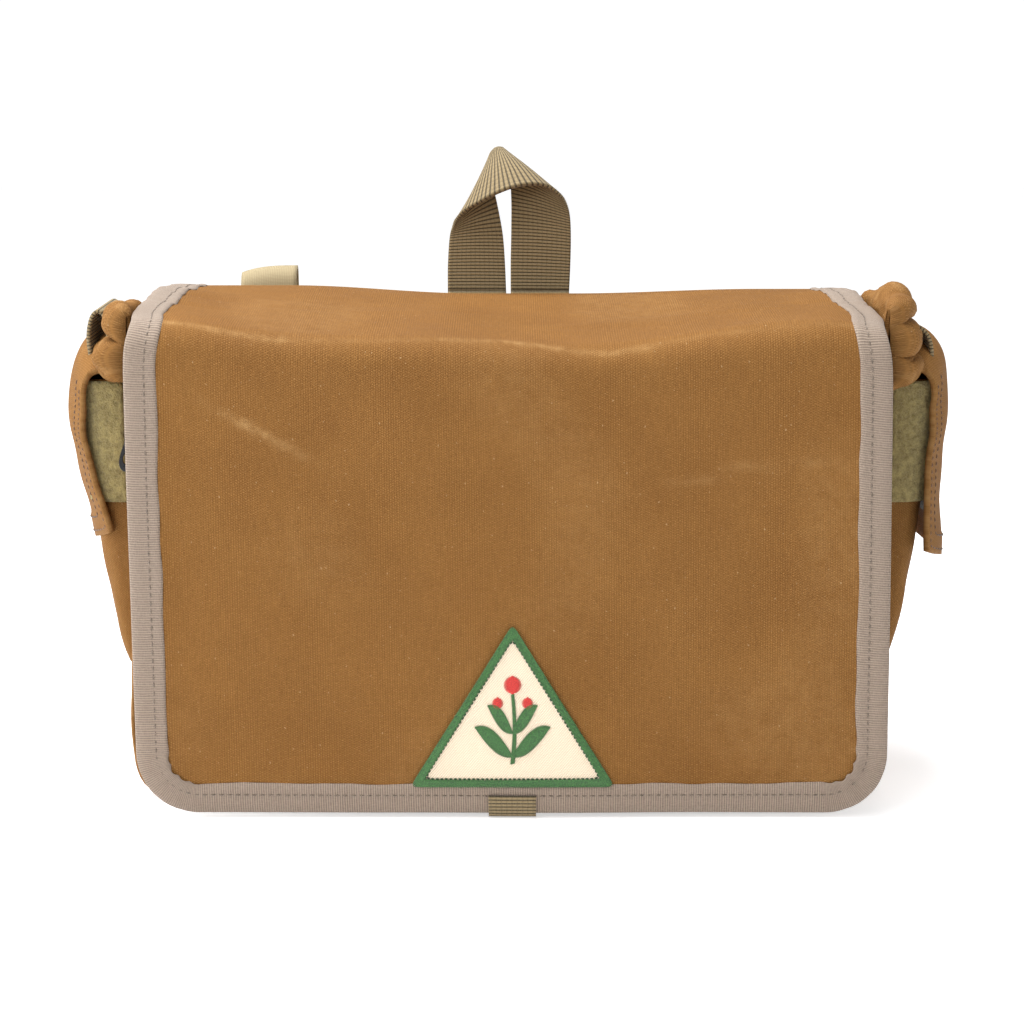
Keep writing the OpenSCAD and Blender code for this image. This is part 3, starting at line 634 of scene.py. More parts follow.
corners = triangle(BORDER_W * 0.6)
u = np.linspace(0, 1, 40)[:, None]
v = np.linspace(0.001, 1, 40)[None, :]
ground_x = corners[2, 0] * (1 - v) + (corners[0, 0] * (1 - u) + corners[1, 0] * u) * v
ground_z = corners[2, 1] + (corners[0, 1] - corners[2, 1]) * v + 0 * u
ground_points = on_flap(ground_x, ground_z, PATCH_FACE + 0 * ground_x)


def twill_material():
    """Cream cotton twill: slanting ribs with small shadows between them."""
    made, tree, shader = material("cream_twill", 0.8, sheen=0.2)
    at = woven_uv(tree)
    rib = bands(tree, stretched(tree, at, (1, 1, 1), 0.7), 0.8, "X", 0.2)
    colour = blend_colour(tree, rib, (0.72, 0.57, 0.4, 1), (0.92, 0.79, 0.62, 1))
    tree.links.new(colour, shader.inputs["Base Color"])
    raise_by(tree, shader, rib, 0.5, 0.0002)
    return made


patch_ground = grid_piece("patch_twill", ground_points, np.stack([ground_x, ground_z], -1), flip=True)
thicken(patch_ground, 0.9, -1)
finish_piece(patch_ground, twill_material(), "flap_front")
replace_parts(patch_ground, "patch_ground")

green_thread = thread_material("green_thread", (0.055, 0.19, 0.04, 1), (0.012, 0.06, 0.012, 1))
dark_green = thread_material("dark_green_thread", (0.02, 0.075, 0.018, 1), (0.006, 0.025, 0.006, 1))
red_thread = thread_material("red_thread", (0.78, 0.05, 0.035, 1), (0.42, 0.014, 0.012, 1))


def closed_outline(inset, count):
    """Evenly spaced points round the inset triangle, with softened corners."""
    c = triangle(inset)
    loop = np.concatenate([np.linspace(c[i], c[(i + 1) % 3], 90, endpoint=False) for i in range(3)])
    for _ in range(8):
        loop = (np.roll(loop, 1, 0) + 2 * loop + np.roll(loop, -1, 0)) / 4
    loop = np.concatenate([loop, loop[:1]])
    return along_path(loop, np.linspace(0, path_length(loop)[-1], count, endpoint=False))


def patch_stitches(name, starts, ends, heights, width, look, slot, sink=0.25):
    """Stitches between points of the patch, each end at its height over the patch's face."""
    place = [on_flap(*p.T, np.full(len(p), PATCH_FACE + h)) for p, h in zip((starts, ends), heights)]
    return stitch_piece(name, *place, facing_front(len(starts)), width, look, slot, "flap_front", sink)


OVERLOCKS, SEAM_STITCHES, SEAM_STITCH = 330, 110, 1.3
outer = np.roll(closed_outline(0.1, OVERLOCKS), -1, 0)
border = patch_stitches("patch_border_threads", outer, closed_outline(BORDER_W, OVERLOCKS), (-0.2, 0.25),
                        1.05, green_thread, "green_thread", -0.55)
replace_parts(border, "patch_border")
seam_line = closed_outline(BORDER_W + 0.1, SEAM_STITCHES)
seam_loop = np.concatenate([seam_line, seam_line[:1]])
seam_ends = along_path(seam_loop, path_length(seam_loop)[:-1] + SEAM_STITCH)
patch_stitches("patch_border_seam", seam_line, seam_ends, (0.25, 0.25), 0.8, dark_green, "green_thread")

PATCH_UNIT = PATCH_H / 63
FOOT_Z = PATCH_Z + 9 * PATCH_UNIT
SATIN_STEP = 0.42


def satin(name, outlines, look, slot, node):
    """Satin stitch: threads laid side by side across each shape. An outline is a function of
    a share along the shape that gives its two sides."""
    starts, ends = [], []
    for sides, length in outlines:
        share = np.linspace(0.01, 0.99, max(4, int(length / SATIN_STEP)))
        a, b = sides(share)
        starts.append(a)
        ends.append(b)
    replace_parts(patch_stitches(name, np.concatenate(starts), np.concatenate(ends), (0.2, 0.2), 0.62,
                               look, slot, -0.25), node)


def leaf_sides(x, z, length, width, turn):
    """A pointed leaf from (x, z): its width swells as a sine and its rib bends outwards."""
    def sides(share):
        rib_u, rib_v = 1.5 * np.sin(math.pi * share / 2) * np.sign(turn), length * share
        half = width / 2 * np.sin(math.pi * np.clip(share, 0.02, 0.98)) ** 0.8
        result = []
        for hand in (-1, 1):
            across, up = rib_u + hand * half, rib_v + hand * 0.8 * half * np.sign(turn)
            result.append(np.stack([x + across * math.cos(turn) - up * math.sin(turn),
                                    z + across * math.sin(turn) + up * math.cos(turn)], -1))
        return result
    return sides, length


def stem_sides(share):
    """The stem's two sides: a slight sine bow that thins towards the top."""
    bend = PATCH_X + 0.8 * np.sin(math.pi * share)
    z = FOOT_Z + 27 * PATCH_UNIT * share
    return [np.stack([bend + hand * (0.95 - 0.3 * share), z + 0.3 * hand], -1) for hand in (-1, 1)]


def berry_sides(x, z, r):
    """A round berry about (x, z): its half width is a circle's at each height."""
    def sides(share):
        up = r * (2 * share - 1)
        half = np.sqrt(np.clip(r * r - up * up, 0.02, None))
        return [np.stack([x + hand * half, z + up], -1) for hand in (-1, 1)]
    return sides, 2 * r


leaves = [(stem_sides, 27 * PATCH_UNIT)]
for hand in (-1, 1):
    for row in (0, 1):
        leaves.append(leaf_sides(PATCH_X, FOOT_Z + (3 + 9 * row) * PATCH_UNIT, (18 - 4 * row) * PATCH_UNIT,
                                 (6.6 - row) * PATCH_UNIT, hand * math.radians(56 - 9 * row)))
satin("patch_seedling", leaves, green_thread, "green_thread", "patch_leaves")
berries = [berry_sides(PATCH_X + x * PATCH_UNIT, PATCH_Z + z * PATCH_UNIT, size * PATCH_UNIT)
           for x, z, size in ((0, 39.5, 3.3), (-5.6, 32.5, 2.1), (5.6, 32.5, 2.1))]
satin("patch_berries_stitched", berries, red_thread, "red_thread", "patch_berries")

# --- Pull tab ----------------------------------------------------------------------------
# A short piece of ribbed webbing, folded round the flap's lower edge under the patch and
# held by the binding's stitches; it is what the flap is peeled open by.
tab_low, tab_high = corners_of("flap_tab")
TAB_UP = 8.0


def webbing_material():
    """Olive-brown webbing: close cross ribs with thin dark grooves, and faint lengthwise cords."""
    made, tree, shader = material("ribbed_webbing", 0.7, sheen=0.1, specular=0.25)
    at = woven_uv(tree)
    groove = bands(tree, at, 2.1, "X", 0.4)
    pick = ramp(tree, bands(tree, at, 1.45, "Y", 0.15), 0.02, 0.5)
    colour = blend_colour(tree, pick, (0.042, 0.030, 0.015, 1), (0.276, 0.204, 0.103, 1))
    colour = blend_colour(tree, ramp(tree, groove, 0.0, 0.4, 0.22, 0), colour, (0.05, 0.036, 0.018, 1))
    thread = noise(tree, stretched(tree, at, (2.5, 1.2, 1)), 1.0, 2)
    colour = blend_colour(tree, ramp(tree, thread, 0.4, 0.75, 0, 0.3), colour, (0.34, 0.28, 0.17, 1))
    tree.links.new(colour, shader.inputs["Base Color"])
    height = math_node(tree, "ADD", pick, math_node(tree, "MULTIPLY", groove, 0.25))
    raise_by(tree, shader, height, 0.7, 0.0004)
    return made


webbing = webbing_material()


def tab_points(x, t):
    """TAB_UP down the flap's face, round its lower edge in a half circle, and up its inner face."""
    reach = FACE + 0.75
    turn = np.clip((t - TAB_UP) / reach, 0, math.pi)
    inside = np.clip(t - TAB_UP - math.pi * reach, 0, None)
    s = FLAP_RUN - np.where(t < TAB_UP, TAB_UP - t, inside) - 0.5
    base, n = flap_point(x, s), flap_normal(x, s)
    down = np.array([0, 0, -1.0])
    return base + n * (reach * np.cos(turn))[..., None] + down * (reach * 0.45 * np.sin(turn))[..., None]


tab_uv = spread(np.linspace(tab_low[0], tab_high[0], 14) - FLAP_SKEW,
                np.linspace(0, 2 * TAB_UP + math.pi * (FACE + 0.75), 40))
pull_tab = grid_piece("pull_tab", tab_points(tab_uv[..., 0], tab_uv[..., 1]), tab_uv)
thicken(pull_tab, 1.1, 0)
finish_piece(pull_tab, webbing, "flap_front")
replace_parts(pull_tab, "flap_tab")

# --- Body shell --------------------------------------------------------------------------
# Front, gussets and back, sewn edge to edge from one weight of canvas. The walls are soft:
# they turn in under the bag, and the gussets sag a little between their seams.
HALF_W, _, BODY_H = corners_of("front_panel")[1]
HALF_D = corners_of("back_panel")[1][1]
TURN_UNDER, MOUTH_DIP, SQUARENESS = 12.0, 7.0, 15


def body_ring(z, turn, grow=0.0):
    """The shell's outline at height z: a rectangle with rounded corners (a superellipse of
    power SQUARENESS) that draws in towards the floor and dips at the mouth's front, wider by grow."""
    z, turn = np.broadcast_arrays(np.asarray(z, float), np.asarray(turn, float))
    low = np.clip(1 - z / (TURN_UNDER * 1.4), 0, 1)
    tuck = 1 - np.sqrt(1 - low ** 2)
    a = HALF_W - 0.4 - TURN_UNDER * tuck + grow
    b = HALF_D - 0.5 - TURN_UNDER * 0.8 * tuck + grow
    c, s = np.cos(turn), np.sin(turn)
    reach = (np.abs(c) ** SQUARENESS + np.abs(s) ** SQUARENESS) ** (-1 / SQUARENESS)
    x, y = a * reach * c, b * reach * s
    end = np.clip((np.abs(c) * reach) ** 7.5 * 1.6 - 0.6, 0, 1) * smooth_step(z, 8, 40)
    bulge = 3.4 * np.exp(-((z - 34) / 30) ** 2) - 1.4 * np.exp(-((z - 115) / 42) ** 2)
    sag = end * (bulge * (0.55 + 0.45 * np.cos(y / HALF_D * 1.5)) + ripple(y, z, 31, 46, 0.9))
    dip = MOUTH_DIP * smooth_step(z, BODY_H - 18, BODY_H) * smooth_step(-y, 10, 60)
    dip = dip * (1 - smooth_step(np.abs(x - 8), 55, 130))
    return np.stack([x + np.sign(x) * sag, y, z - dip], axis=-1)


def ring_turns(count):
    """Turns that space the points of a ring evenly along its outline."""
    fine = np.linspace(0, 2 * math.pi, 6001)
    run = path_length(body_ring(100.0, fine))
    return np.interp(np.linspace(0, run[-1], count, endpoint=False), run, fine)


turns = ring_turns(260)
heights = np.concatenate([[0.9, 1.6, 3, 5, 7.5, 10, 13], np.linspace(17, BODY_H, 56)])
shell_points = body_ring(heights[:, None], turns[None, :])
around = np.linspace(0, 850, len(turns), endpoint=False)
shell_uv = spread(around, heights)


def closed_rows(points, uv):
    """Repeats a grid's first column after its last, so that the surface closes round."""
    step = uv[:, 1:2] - uv[:, :1]
    return (np.concatenate([points, points[:, :1]], 1), np.concatenate([uv, uv[:, -1:] + step], 1))


shell_points, shell_uv = closed_rows(shell_points, shell_uv)
body_shell = grid_piece("body_shell", shell_points, shell_uv, flip=True, wear=0.12)
thicken(body_shell, 1.8, -1)
finish_piece(body_shell, canvas, "bag")
path_length(body_ring(100.0, np.append(turns, turns[0])))[-1] * MM
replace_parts(body_shell, "front_panel", "back_panel", "left_gusset", "right_gusset")


def ring_band(name, z, grow, thickness, share=1.0):
    """A band of canvas laid round the shell at the heights z; share draws a height's ring in
    towards the middle of the bottom."""
    points = body_ring(z[:, None], turns[None, :], grow)
    points[..., :2] *= np.broadcast_to(share, z.shape)[:, None, None]
    points, uv = closed_rows(points, spread(around, z))
    made = grid_piece(name, points, uv, flip=True, wear=0.1)
    thicken(made, thickness, -1)
    return finish_piece(made, canvas, "bag")


BOOT_H, HEM_H = 20.0, 14.0
boot_z = np.array([0.35, 0.35, 0.35, 0.5, 1.2, 2.4, 4, 6, 8.5, 11, 14, 17, BOOT_H])
boot_share = np.array([0.02, 0.5, 0.94, 0.99] + [1] * 9)
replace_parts(ring_band("bottom_boot_cloth", boot_z, 0.9, 1.2, boot_share), "bottom_boot")
ring_band("mouth_hem", np.linspace(BODY_H - HEM_H, BODY_H + 0.6, 6), 0.8, 3.4)


def ring_stitches(name, z, grow, pitch=3.6, length=2.6):
    """A line of stitches round the shell at one height."""
    loop = body_ring(z, np.append(turns, turns[0]), grow)
    run = path_length(loop)[-1]
    starts = np.arange(0, run - pitch, pitch)
    a, b = along_path(loop, starts), along_path(loop, starts + length)
    out = (a + b) / 2 * [1, 1, 0]
    flat = np.where(np.abs(out[:, :1]) > HALF_W - 3, [1, 0, 0], [0, 1, 0]) * np.sign(out)
    flat = flat / np.linalg.norm(flat, axis=-1, keepdims=True)
    stitch_piece(name, a, b, flat, 0.75, tan_thread, "canvas", "bag")


ring_stitches("boot_stitches", BOOT_H - 2.5, 1.0)
ring_stitches("hem_stitches", BODY_H - HEM_H + 2.5, 0.9)


def corner_seam(name, sx, sy):
    """The felled seam where a panel meets a gusset: a narrow raised ridge up the corner."""
    z = np.linspace(3, BODY_H - 8, 60)
    turn = {(1, 1): 0.7, (-1, 1): math.pi - 0.7, (-1, -1): math.pi + 0.7, (1, -1): -0.7}[sx, sy]
    middle = body_ring(z, turn, 0.2)
    ring = np.linspace(0, 2 * math.pi, 9)
    out = np.array([sx, 0.25 * sy, 0]) / math.hypot(1, 0.25)
    beside = np.array([0, sy, 0.0])
    tube = (middle[:, None] + 1.3 * np.cos(ring)[None, :, None] * out
            + 2.4 * np.sin(ring)[None, :, None] * beside)
    finish_piece(grid_piece(name, tube, spread(ring * 2, z), wear=0.4), canvas, "bag")


for sx, side in ((-1, "left"), (1, "right")):
    for sy, end in ((-1, "front"), (1, "back")):
        corner_seam(f"{side}_{end}_seam", sx, sy)

# --- Boards ------------------------------------------------------------------------------
# Two loose stiffeners of black pebbled board: one with rounded corners on the bottom, and
# one inside the back.
def plain_board(node, axis, shift, inset):
    """A thin plate with rounded corners, thin along one axis and shifted along it."""
    low, high = corners_of(node) + shift * (np.arange(3) == axis)
    flat = [k for k in range(3) if k != axis]
    half = (high - low) / 2 - inset * (np.arange(3) != axis)
    turn = np.linspace(0, 2 * math.pi, 97)
    share, level = np.array([0, 1, 1, 0]), np.array([-1, -1, 1, 1])
    points = np.zeros((len(level), len(turn), 3))
    for k, wave in zip(flat, (np.cos(turn), np.sin(turn))):
        points[..., k] = half[k] * share[:, None] * (np.sign(wave) * np.abs(wave) ** 0.2)[None, :]
    points[..., axis] = (half[axis] * level)[:, None]
    points += (low + high) / 2
    made = grid_piece(f"{node}_sheet", points, spread(turn, level), flip=True)
    look, tree, shader = material(f"{node}_pebbled", 0.55, (0.03, 0.03, 0.032))
    pebble = noise(tree, surface_point(tree), 900, 2)
    raise_by(tree, shader, pebble, 0.4, 0.0003)
    finish_piece(made, look, "bag")
    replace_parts(made, node)


plain_board("base_board", 2, 0.5, 4.0)
plain_board("back_board", 1, -0.8, 1.0)

# --- Front pocket and zip ----------------------------------------------------------------
# A flat canvas pocket under the flap, closed by a black coil zip. Its slider stands at the
# left end, where the pull shows beside the flap.
pocket_low, pocket_high = corners_of("front_pocket_panel")


def front_sheet(name, low, high, y, thickness, look, node, wave=0.25):
    """A flat piece on the bag's front between two corners, with a soft face at y."""
    gx, gz = np.meshgrid(np.linspace(low[0], high[0], 60), np.linspace(low[2], high[2], 34))
    points = np.stack([gx, y - wave - ripple(gx, gz, 41, 60, wave), gz], -1)
    made = grid_piece(name, points, np.stack([gx, gz], -1), flip=True)
    thicken(made, thickness, -1)
    finish_piece(made, look, "bag")
    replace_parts(made, node)
    return made


pocket_cloth = front_sheet("front_pocket_cloth", pocket_low, pocket_high, pocket_low[1] + 0.2, 1.8, canvas,
                           "front_pocket_panel")


def flat_stitches(name, line, y, facing, pitch, length, gap, width, slot):
    """Stitches along a line of (x, z) points that lies flat on the bag's front or back."""
    starts = np.arange(0, path_length(line)[-1] - gap, pitch)
    a, b = (np.insert(along_path(line, starts + more), 1, y, axis=1) for more in (0, length))
    stitch_piece(name, a, b, facing * facing_front(len(a)), width, tan_thread, slot, "bag")


left_x, low_z = pocket_low[[0, 2]] + 3
right_x, high_z = pocket_high[[0, 2]] - 3
flat_stitches("front_pocket_stitches",
              np.array([[left_x, high_z], [left_x, low_z], [right_x, low_z], [right_x, high_z], [left_x, high_z]]),
              pocket_low[1] - 0.35, 1, 3.6, 2.5, 3.6, 0.75, "canvas")


def zip_tape_material():
    """Black herringbone tape."""
    made, tree, shader = material("zip_tape_weave", 0.8, (0.012, 0.012, 0.013))
    at = surface_point(tree)
    rib = build(tree, "ShaderNodeTexWave", {"Vector": at, "Scale": 330.0}, bands_direction="X").outputs["Fac"]
    raise_by(tree, shader, rib, 0.5, 0.0003)
    return made


zip_tape_look = zip_tape_material()
zip_low, zip_high = corners_of("zip_coil")
tapes_low, tapes_high = corners_of("zip_tapes")
TAPE_Y, ZIP_Z = tapes_low[1], (zip_low[2] + zip_high[2]) / 2
for name, z in (("lower_zip_tape", (tapes_low[2], ZIP_Z - 0.5)), ("upper_zip_tape", (ZIP_Z + 0.5, tapes_high[2]))):
    front_sheet(name, (tapes_low[0], 0, z[0]), (tapes_high[0], 0, z[1]), TAPE_Y + 0.3, 0.9, zip_tape_look,
                "zip_tapes", 0.12)

COIL_PITCH, COIL_H, COIL_SLANT = 1.35, 3.5, 0.45
coil_x = np.arange(zip_low[0] + 1, zip_high[0] - 1, COIL_PITCH)
coil_feet = np.insert(np.full((len(coil_x), 2), [TAPE_Y - 0.6, ZIP_Z - COIL_H / 2]), 0, coil_x, axis=1)
zip_plastic = material("zip_coil_plastic", 0.35, (0.014, 0.014, 0.015))[0]
coil = stitch_piece("zip_coil_teeth", coil_feet, coil_feet + [COIL_SLANT, 0, COIL_H],
                    facing_front(len(coil_x)), 1.25, zip_plastic, "zip_plastic", "bag", 0.3)
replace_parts(coil, "zip_coil")


def enamel_material():
    """Black enamelled metal with fine wear."""
    made, tree, shader = material("black_enamel", 0.32, (0.01, 0.01, 0.011), specular=0.35)
    worn = noise(tree, surface_point(tree), 500, 4)
    tree.links.new(ramp(tree, worn, 0.3, 0.7, 0.22, 0.45), shader.inputs["Roughness"])
    return made


enamel = enamel_material()
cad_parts["zip_stops"].data.materials.clear()
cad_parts["zip_stops"].data.materials.append(enamel)


def bevelled(name, outline, y_back, y_front, body, hole=None, round_by=0.5):
    """A flat enamelled part: an outline in X and Z given a depth and rounded edges; hole is the
    outline of an opening through it."""
    bm = bmesh.new()
    loops = [outline] + ([hole] if hole is not None else [])
    rings = [[[bm.verts.new((p[0] * MM, y * MM, p[1] * MM)) for p in loop] for y in (y_back, y_front)]
             for loop in loops]
    for back, front in rings:
        n = len(back)
        for i in range(n):
            bm.faces.new((back[i], back[(i + 1) % n], front[(i + 1) % n], front[i]))
    for side in (0, 1):
        if hole is None:
            bm.faces.new(rings[0][side])
        else:
            n = len(outline)
            for i in range(n):
                j = (i + 1) % n
                bm.faces.new((rings[0][side][i], rings[0][side][j], rings[1][side][j], rings[1][side][i]))
    bmesh.ops.recalc_face_normals(bm, faces=bm.faces)
    mesh = bpy.data.meshes.new(name)
    bm.to_mesh(mesh)
    bm.free()
    made = place_mesh(name, mesh)
    edge = made.modifiers.new("edge", "BEVEL")
    edge.width, edge.segments, edge.limit_method = round_by * MM, 3, "ANGLE"
    return finish_piece(made, enamel, body)


def squared_sine(turn, power):
    """A sine with flatter tops, the lower the power."""
    return np.sign(np.sin(turn)) * np.abs(np.sin(turn)) ** power


low, high = corners_of("zip_slider")
middle_x, _, middle_z = (low + high) / 2
turn = np.linspace(0, 2 * math.pi, 32, endpoint=False)
SLIDER_HALF, PLATE_T = 6.0, 1.5
slider_outline = np.stack([middle_x + SLIDER_HALF * np.cos(turn) * (1 - 0.12 * np.cos(turn)),
                           middle_z + (4.9 - 0.9 * np.cos(turn)) * squared_sine(turn, 0.6)], -1)
slider = bevelled("zip_slider_plate", slider_outline, high[1], high[1] - PLATE_T, "slider")
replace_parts(slider, "zip_slider")
bridge = np.array([[-4, -1.2], [3.6, -1.2], [3.6, 1.2], [-4, 1.2]]) + [middle_x, middle_z]
bevelled("zip_slider_bridge", bridge, high[1] - PLATE_T, low[1], "slider", round_by=0.6)

PULL_LEAN = math.radians(17)
PULL_HALF = 4.3
low, high = corners_of("zip_pull")
middle_x, _, middle_z = (low + high) / 2
turn = np.linspace(0, 2 * math.pi, 48, endpoint=False)
grip = np.stack([middle_x + PULL_HALF * np.cos(turn) * (0.72 - 0.28 * np.sin(turn)),
                 middle_z + (high[2] - low[2]) / 2 * squared_sine(turn, 0.7)], -1)
eye = np.stack([middle_x + 1.9 * np.cos(turn), low[2] + 5.5 + 2.6 * np.sin(turn)], -1)
pivot = np.array([middle_x, high[2] - 1.5])
lean = np.array([[math.cos(PULL_LEAN), math.sin(PULL_LEAN)], [-math.sin(PULL_LEAN), math.cos(PULL_LEAN)]])
grip, eye = (pivot + (p - pivot) @ lean.T for p in (grip, eye))
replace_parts(bevelled("zip_pull_tab", grip, high[1], low[1] + 0.2, "pull", eye, 0.3), "zip_pull")

# --- Hidden closure ----------------------------------------------------------------------
# A strip of loop tape sewn to the front pocket and one of hook tape inside the flap, which
# together hold the flap down until the tab is pulled.
def loop_tape_material():
    """Brushed loop tape: pale olive fuzz, felted in clumps."""
    made, tree, shader = material("brushed_loop", 0.9, sheen=0.15, specular=0.15)
    at = surface_point(tree)
    clump = noise(tree, at, 420, 4, 0.7)
    fibre = noise(tree, at, 1500, 4, 0.75)
    colour = blend_colour(tree, ramp(tree, clump, 0.3, 0.7), (0.19, 0.145, 0.05, 1), (0.54, 0.43, 0.17, 1))
    colour = blend_colour(tree, ramp(tree, fibre, 0.45, 0.75, 0, 0.6), colour, (0.68, 0.56, 0.28, 1))
    tree.links.new(colour, shader.inputs["Base Color"])
    height = math_node(tree, "ADD", clump, math_node(tree, "MULTIPLY", fibre, 0.7))
    raise_by(tree, shader, height, 1.0, 0.0018)
    return made


def hook_tape_material():
    """Hook tape: dark olive, with rows of small hooks as a fine rough dot pattern."""
    made, tree, shader = material("hook_tape_rows", 0.6, (0.07, 0.065, 0.035))
    at = surface_point(tree)
    dots = build(tree, "ShaderNodeTexVoronoi", {"Vector": at, "Scale": 800.0}).outputs["Distance"]
    raise_by(tree, shader, dots, 1.0, 0.0008)
    colour = blend_colour(tree, ramp(tree, dots, 0.1, 0.6), (0.10, 0.095, 0.05, 1), (0.035, 0.032, 0.016, 1))
    tree.links.new(colour, shader.inputs["Base Color"])
    return made


loop_tape, hook_tape = loop_tape_material(), hook_tape_material()
low, high = corners_of("front_loop_strip")
front_sheet("front_loop_strip_pile", low, high, low[1] + 0.5, 2.6, loop_tape, "front_loop_strip", 0.15)
low, high = corners_of("flap_hook_strip")
hooks_uv = spread(np.linspace(low[0], high[0], 30), np.linspace(low[2], high[2], 10))
flap_hooks = grid_piece("flap_hook_strip_rows", on_flap(*np.moveaxis(hooks_uv, -1, 0),
                                                        np.full(hooks_uv.shape[:2], -FLAP_T / 2 - 0.3)), hooks_uv)
thicken(flap_hooks, 1.6, 1)
finish_piece(flap_hooks, hook_tape, "flap_front")
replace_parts(flap_hooks, "flap_hook_strip")

# --- End pockets -------------------------------------------------------------------------
# On each gusset a flat-backed pouch that swells towards its mouth, a band of loop tape
# round it, and a lid with a double row of stitches and hook tape inside.
POUCH_Z = corners_of("right_pocket_pouch")[0][2]
POUCH_X, POUCH_HALF, MOUTH_Z = corners_of("right_pocket_pouch")[1]
POUCH_FOOT = 2.5
band_low, band_high = corners_of("right_pocket_loop_band")
LID_HALF = corners_of("right_pocket_flap")[1][1]


def knot_curve(knots):
    """A smooth run through a few knots: each coordinate is a cubic blend between neighbours
    (Catmull-Rom), with 24 steps from knot to knot."""
    k = np.asarray(knots, float)
    k = np.concatenate([2 * k[:1] - k[1:2], k, 2 * k[-1:] - k[-2:-1]])
    t = np.linspace(0, 1, 24, endpoint=False)[:, None]
    runs = []
    for i in range(1, len(k) - 2):
        a, b, c, d = k[i - 1], k[i], k[i + 1], k[i + 2]
        runs.append(0.5 * (2 * b + (c - a) * t + (2 * a - 5 * b + 4 * c - d) * t ** 2
                           + (3 * b - a - 3 * c + d) * t ** 3))
    return np.concatenate(runs + [k[-2:-1]])


def smooth_path(knots, count):
    """The same run, sampled evenly along its length."""
    fine = knot_curve(knots)
    return along_path(fine, np.linspace(0, path_length(fine)[-1], count))


def pouch_point(turn, z, seed, grow=0.0, shrink=1.0):
    """A pouch wall: a half superellipse of power 4.5 about the gusset, with soft creases. Its
    face stands out by a square root of the height, from a thin foot to a full mouth."""
    share = np.clip((z - POUCH_Z) / (MOUTH_Z - POUCH_Z), 0, 1)
    out = (POUCH_FOOT + (POUCH_X - HALF_W - POUCH_FOOT) * share ** 0.5) * shrink + grow
    c, s = np.cos(turn), np.sin(turn)
    crease = ripple(turn * 30, z, seed, 34, 0.7) * np.abs(c)
    x = HALF_W - 0.6 + (out + crease) * np.abs(c) ** (2 / 4.5)
    y = (POUCH_HALF + grow) * np.sign(s) * np.abs(s) ** (2 / 4.5) * (0.9 + 0.1 * shrink)
    return np.stack(np.broadcast_arrays(x, y, z), -1)


def half_turns(count):
    """Turns that space a pouch wall's points evenly along it, and the wall's whole run."""
    fine = np.linspace(-math.pi / 2, math.pi / 2, 3001)
    run = path_length(pouch_point(fine, np.full(3001, 150.0), 1))
    return np.interp(np.linspace(0, run[-1], count), run, fine), run[-1]


pouch_turns, pouch_girth = half_turns(70)
pouch_arc = np.linspace(0, pouch_girth, 70)


def to_side(points, hand):
    """The same points at the left (-1) or right (1) end of the bag."""
    return points * np.array([hand, 1, 1])


LID_KNOTS = {
    -1: [(156, 188.5), (166, 190), (174, 187.6), (179.6, 179.5), (183.2, 166), (182.6, 150), (178.6, 128),
         (172.8, 103)],
    1: [(156, 189), (168, 190.6), (176, 187.8), (181.4, 180), (183.4, 168), (183, 152), (181.2, 130),
        (182, 95)],
}


def lid_point(path, q, y, depth=0.0):
    """The lid's surface: a path in X and Z carried from front to back, drawn in towards its
    two ends as it wraps the pouch. path holds the run, its points and the extra draw on top."""
    x = np.interp(q, path[0], path[1][:, 0])
    z = np.interp(q, path[0], path[1][:, 1])
    wrap = smooth_step(q, 14, 40)
    ends = np.abs(y / LID_HALF) ** 2.2
    draw = 3 + 8 * wrap + path[2] * (1 - smooth_step(q, 34, 76))
    x = x - draw * ends + ripple(q, y, 61, 30, 0.5) * wrap - depth
    z = z - 14 * ends * (1 - smooth_step(q, 26, 70)) + 7 * ends * smooth_step(q, 60, path[0][-1])
    z = z + ripple(y, q, 63, 34, 0.5) * (1 - wrap)
    return np.stack([x, y + 0 * x, z + 0 * x], -1)


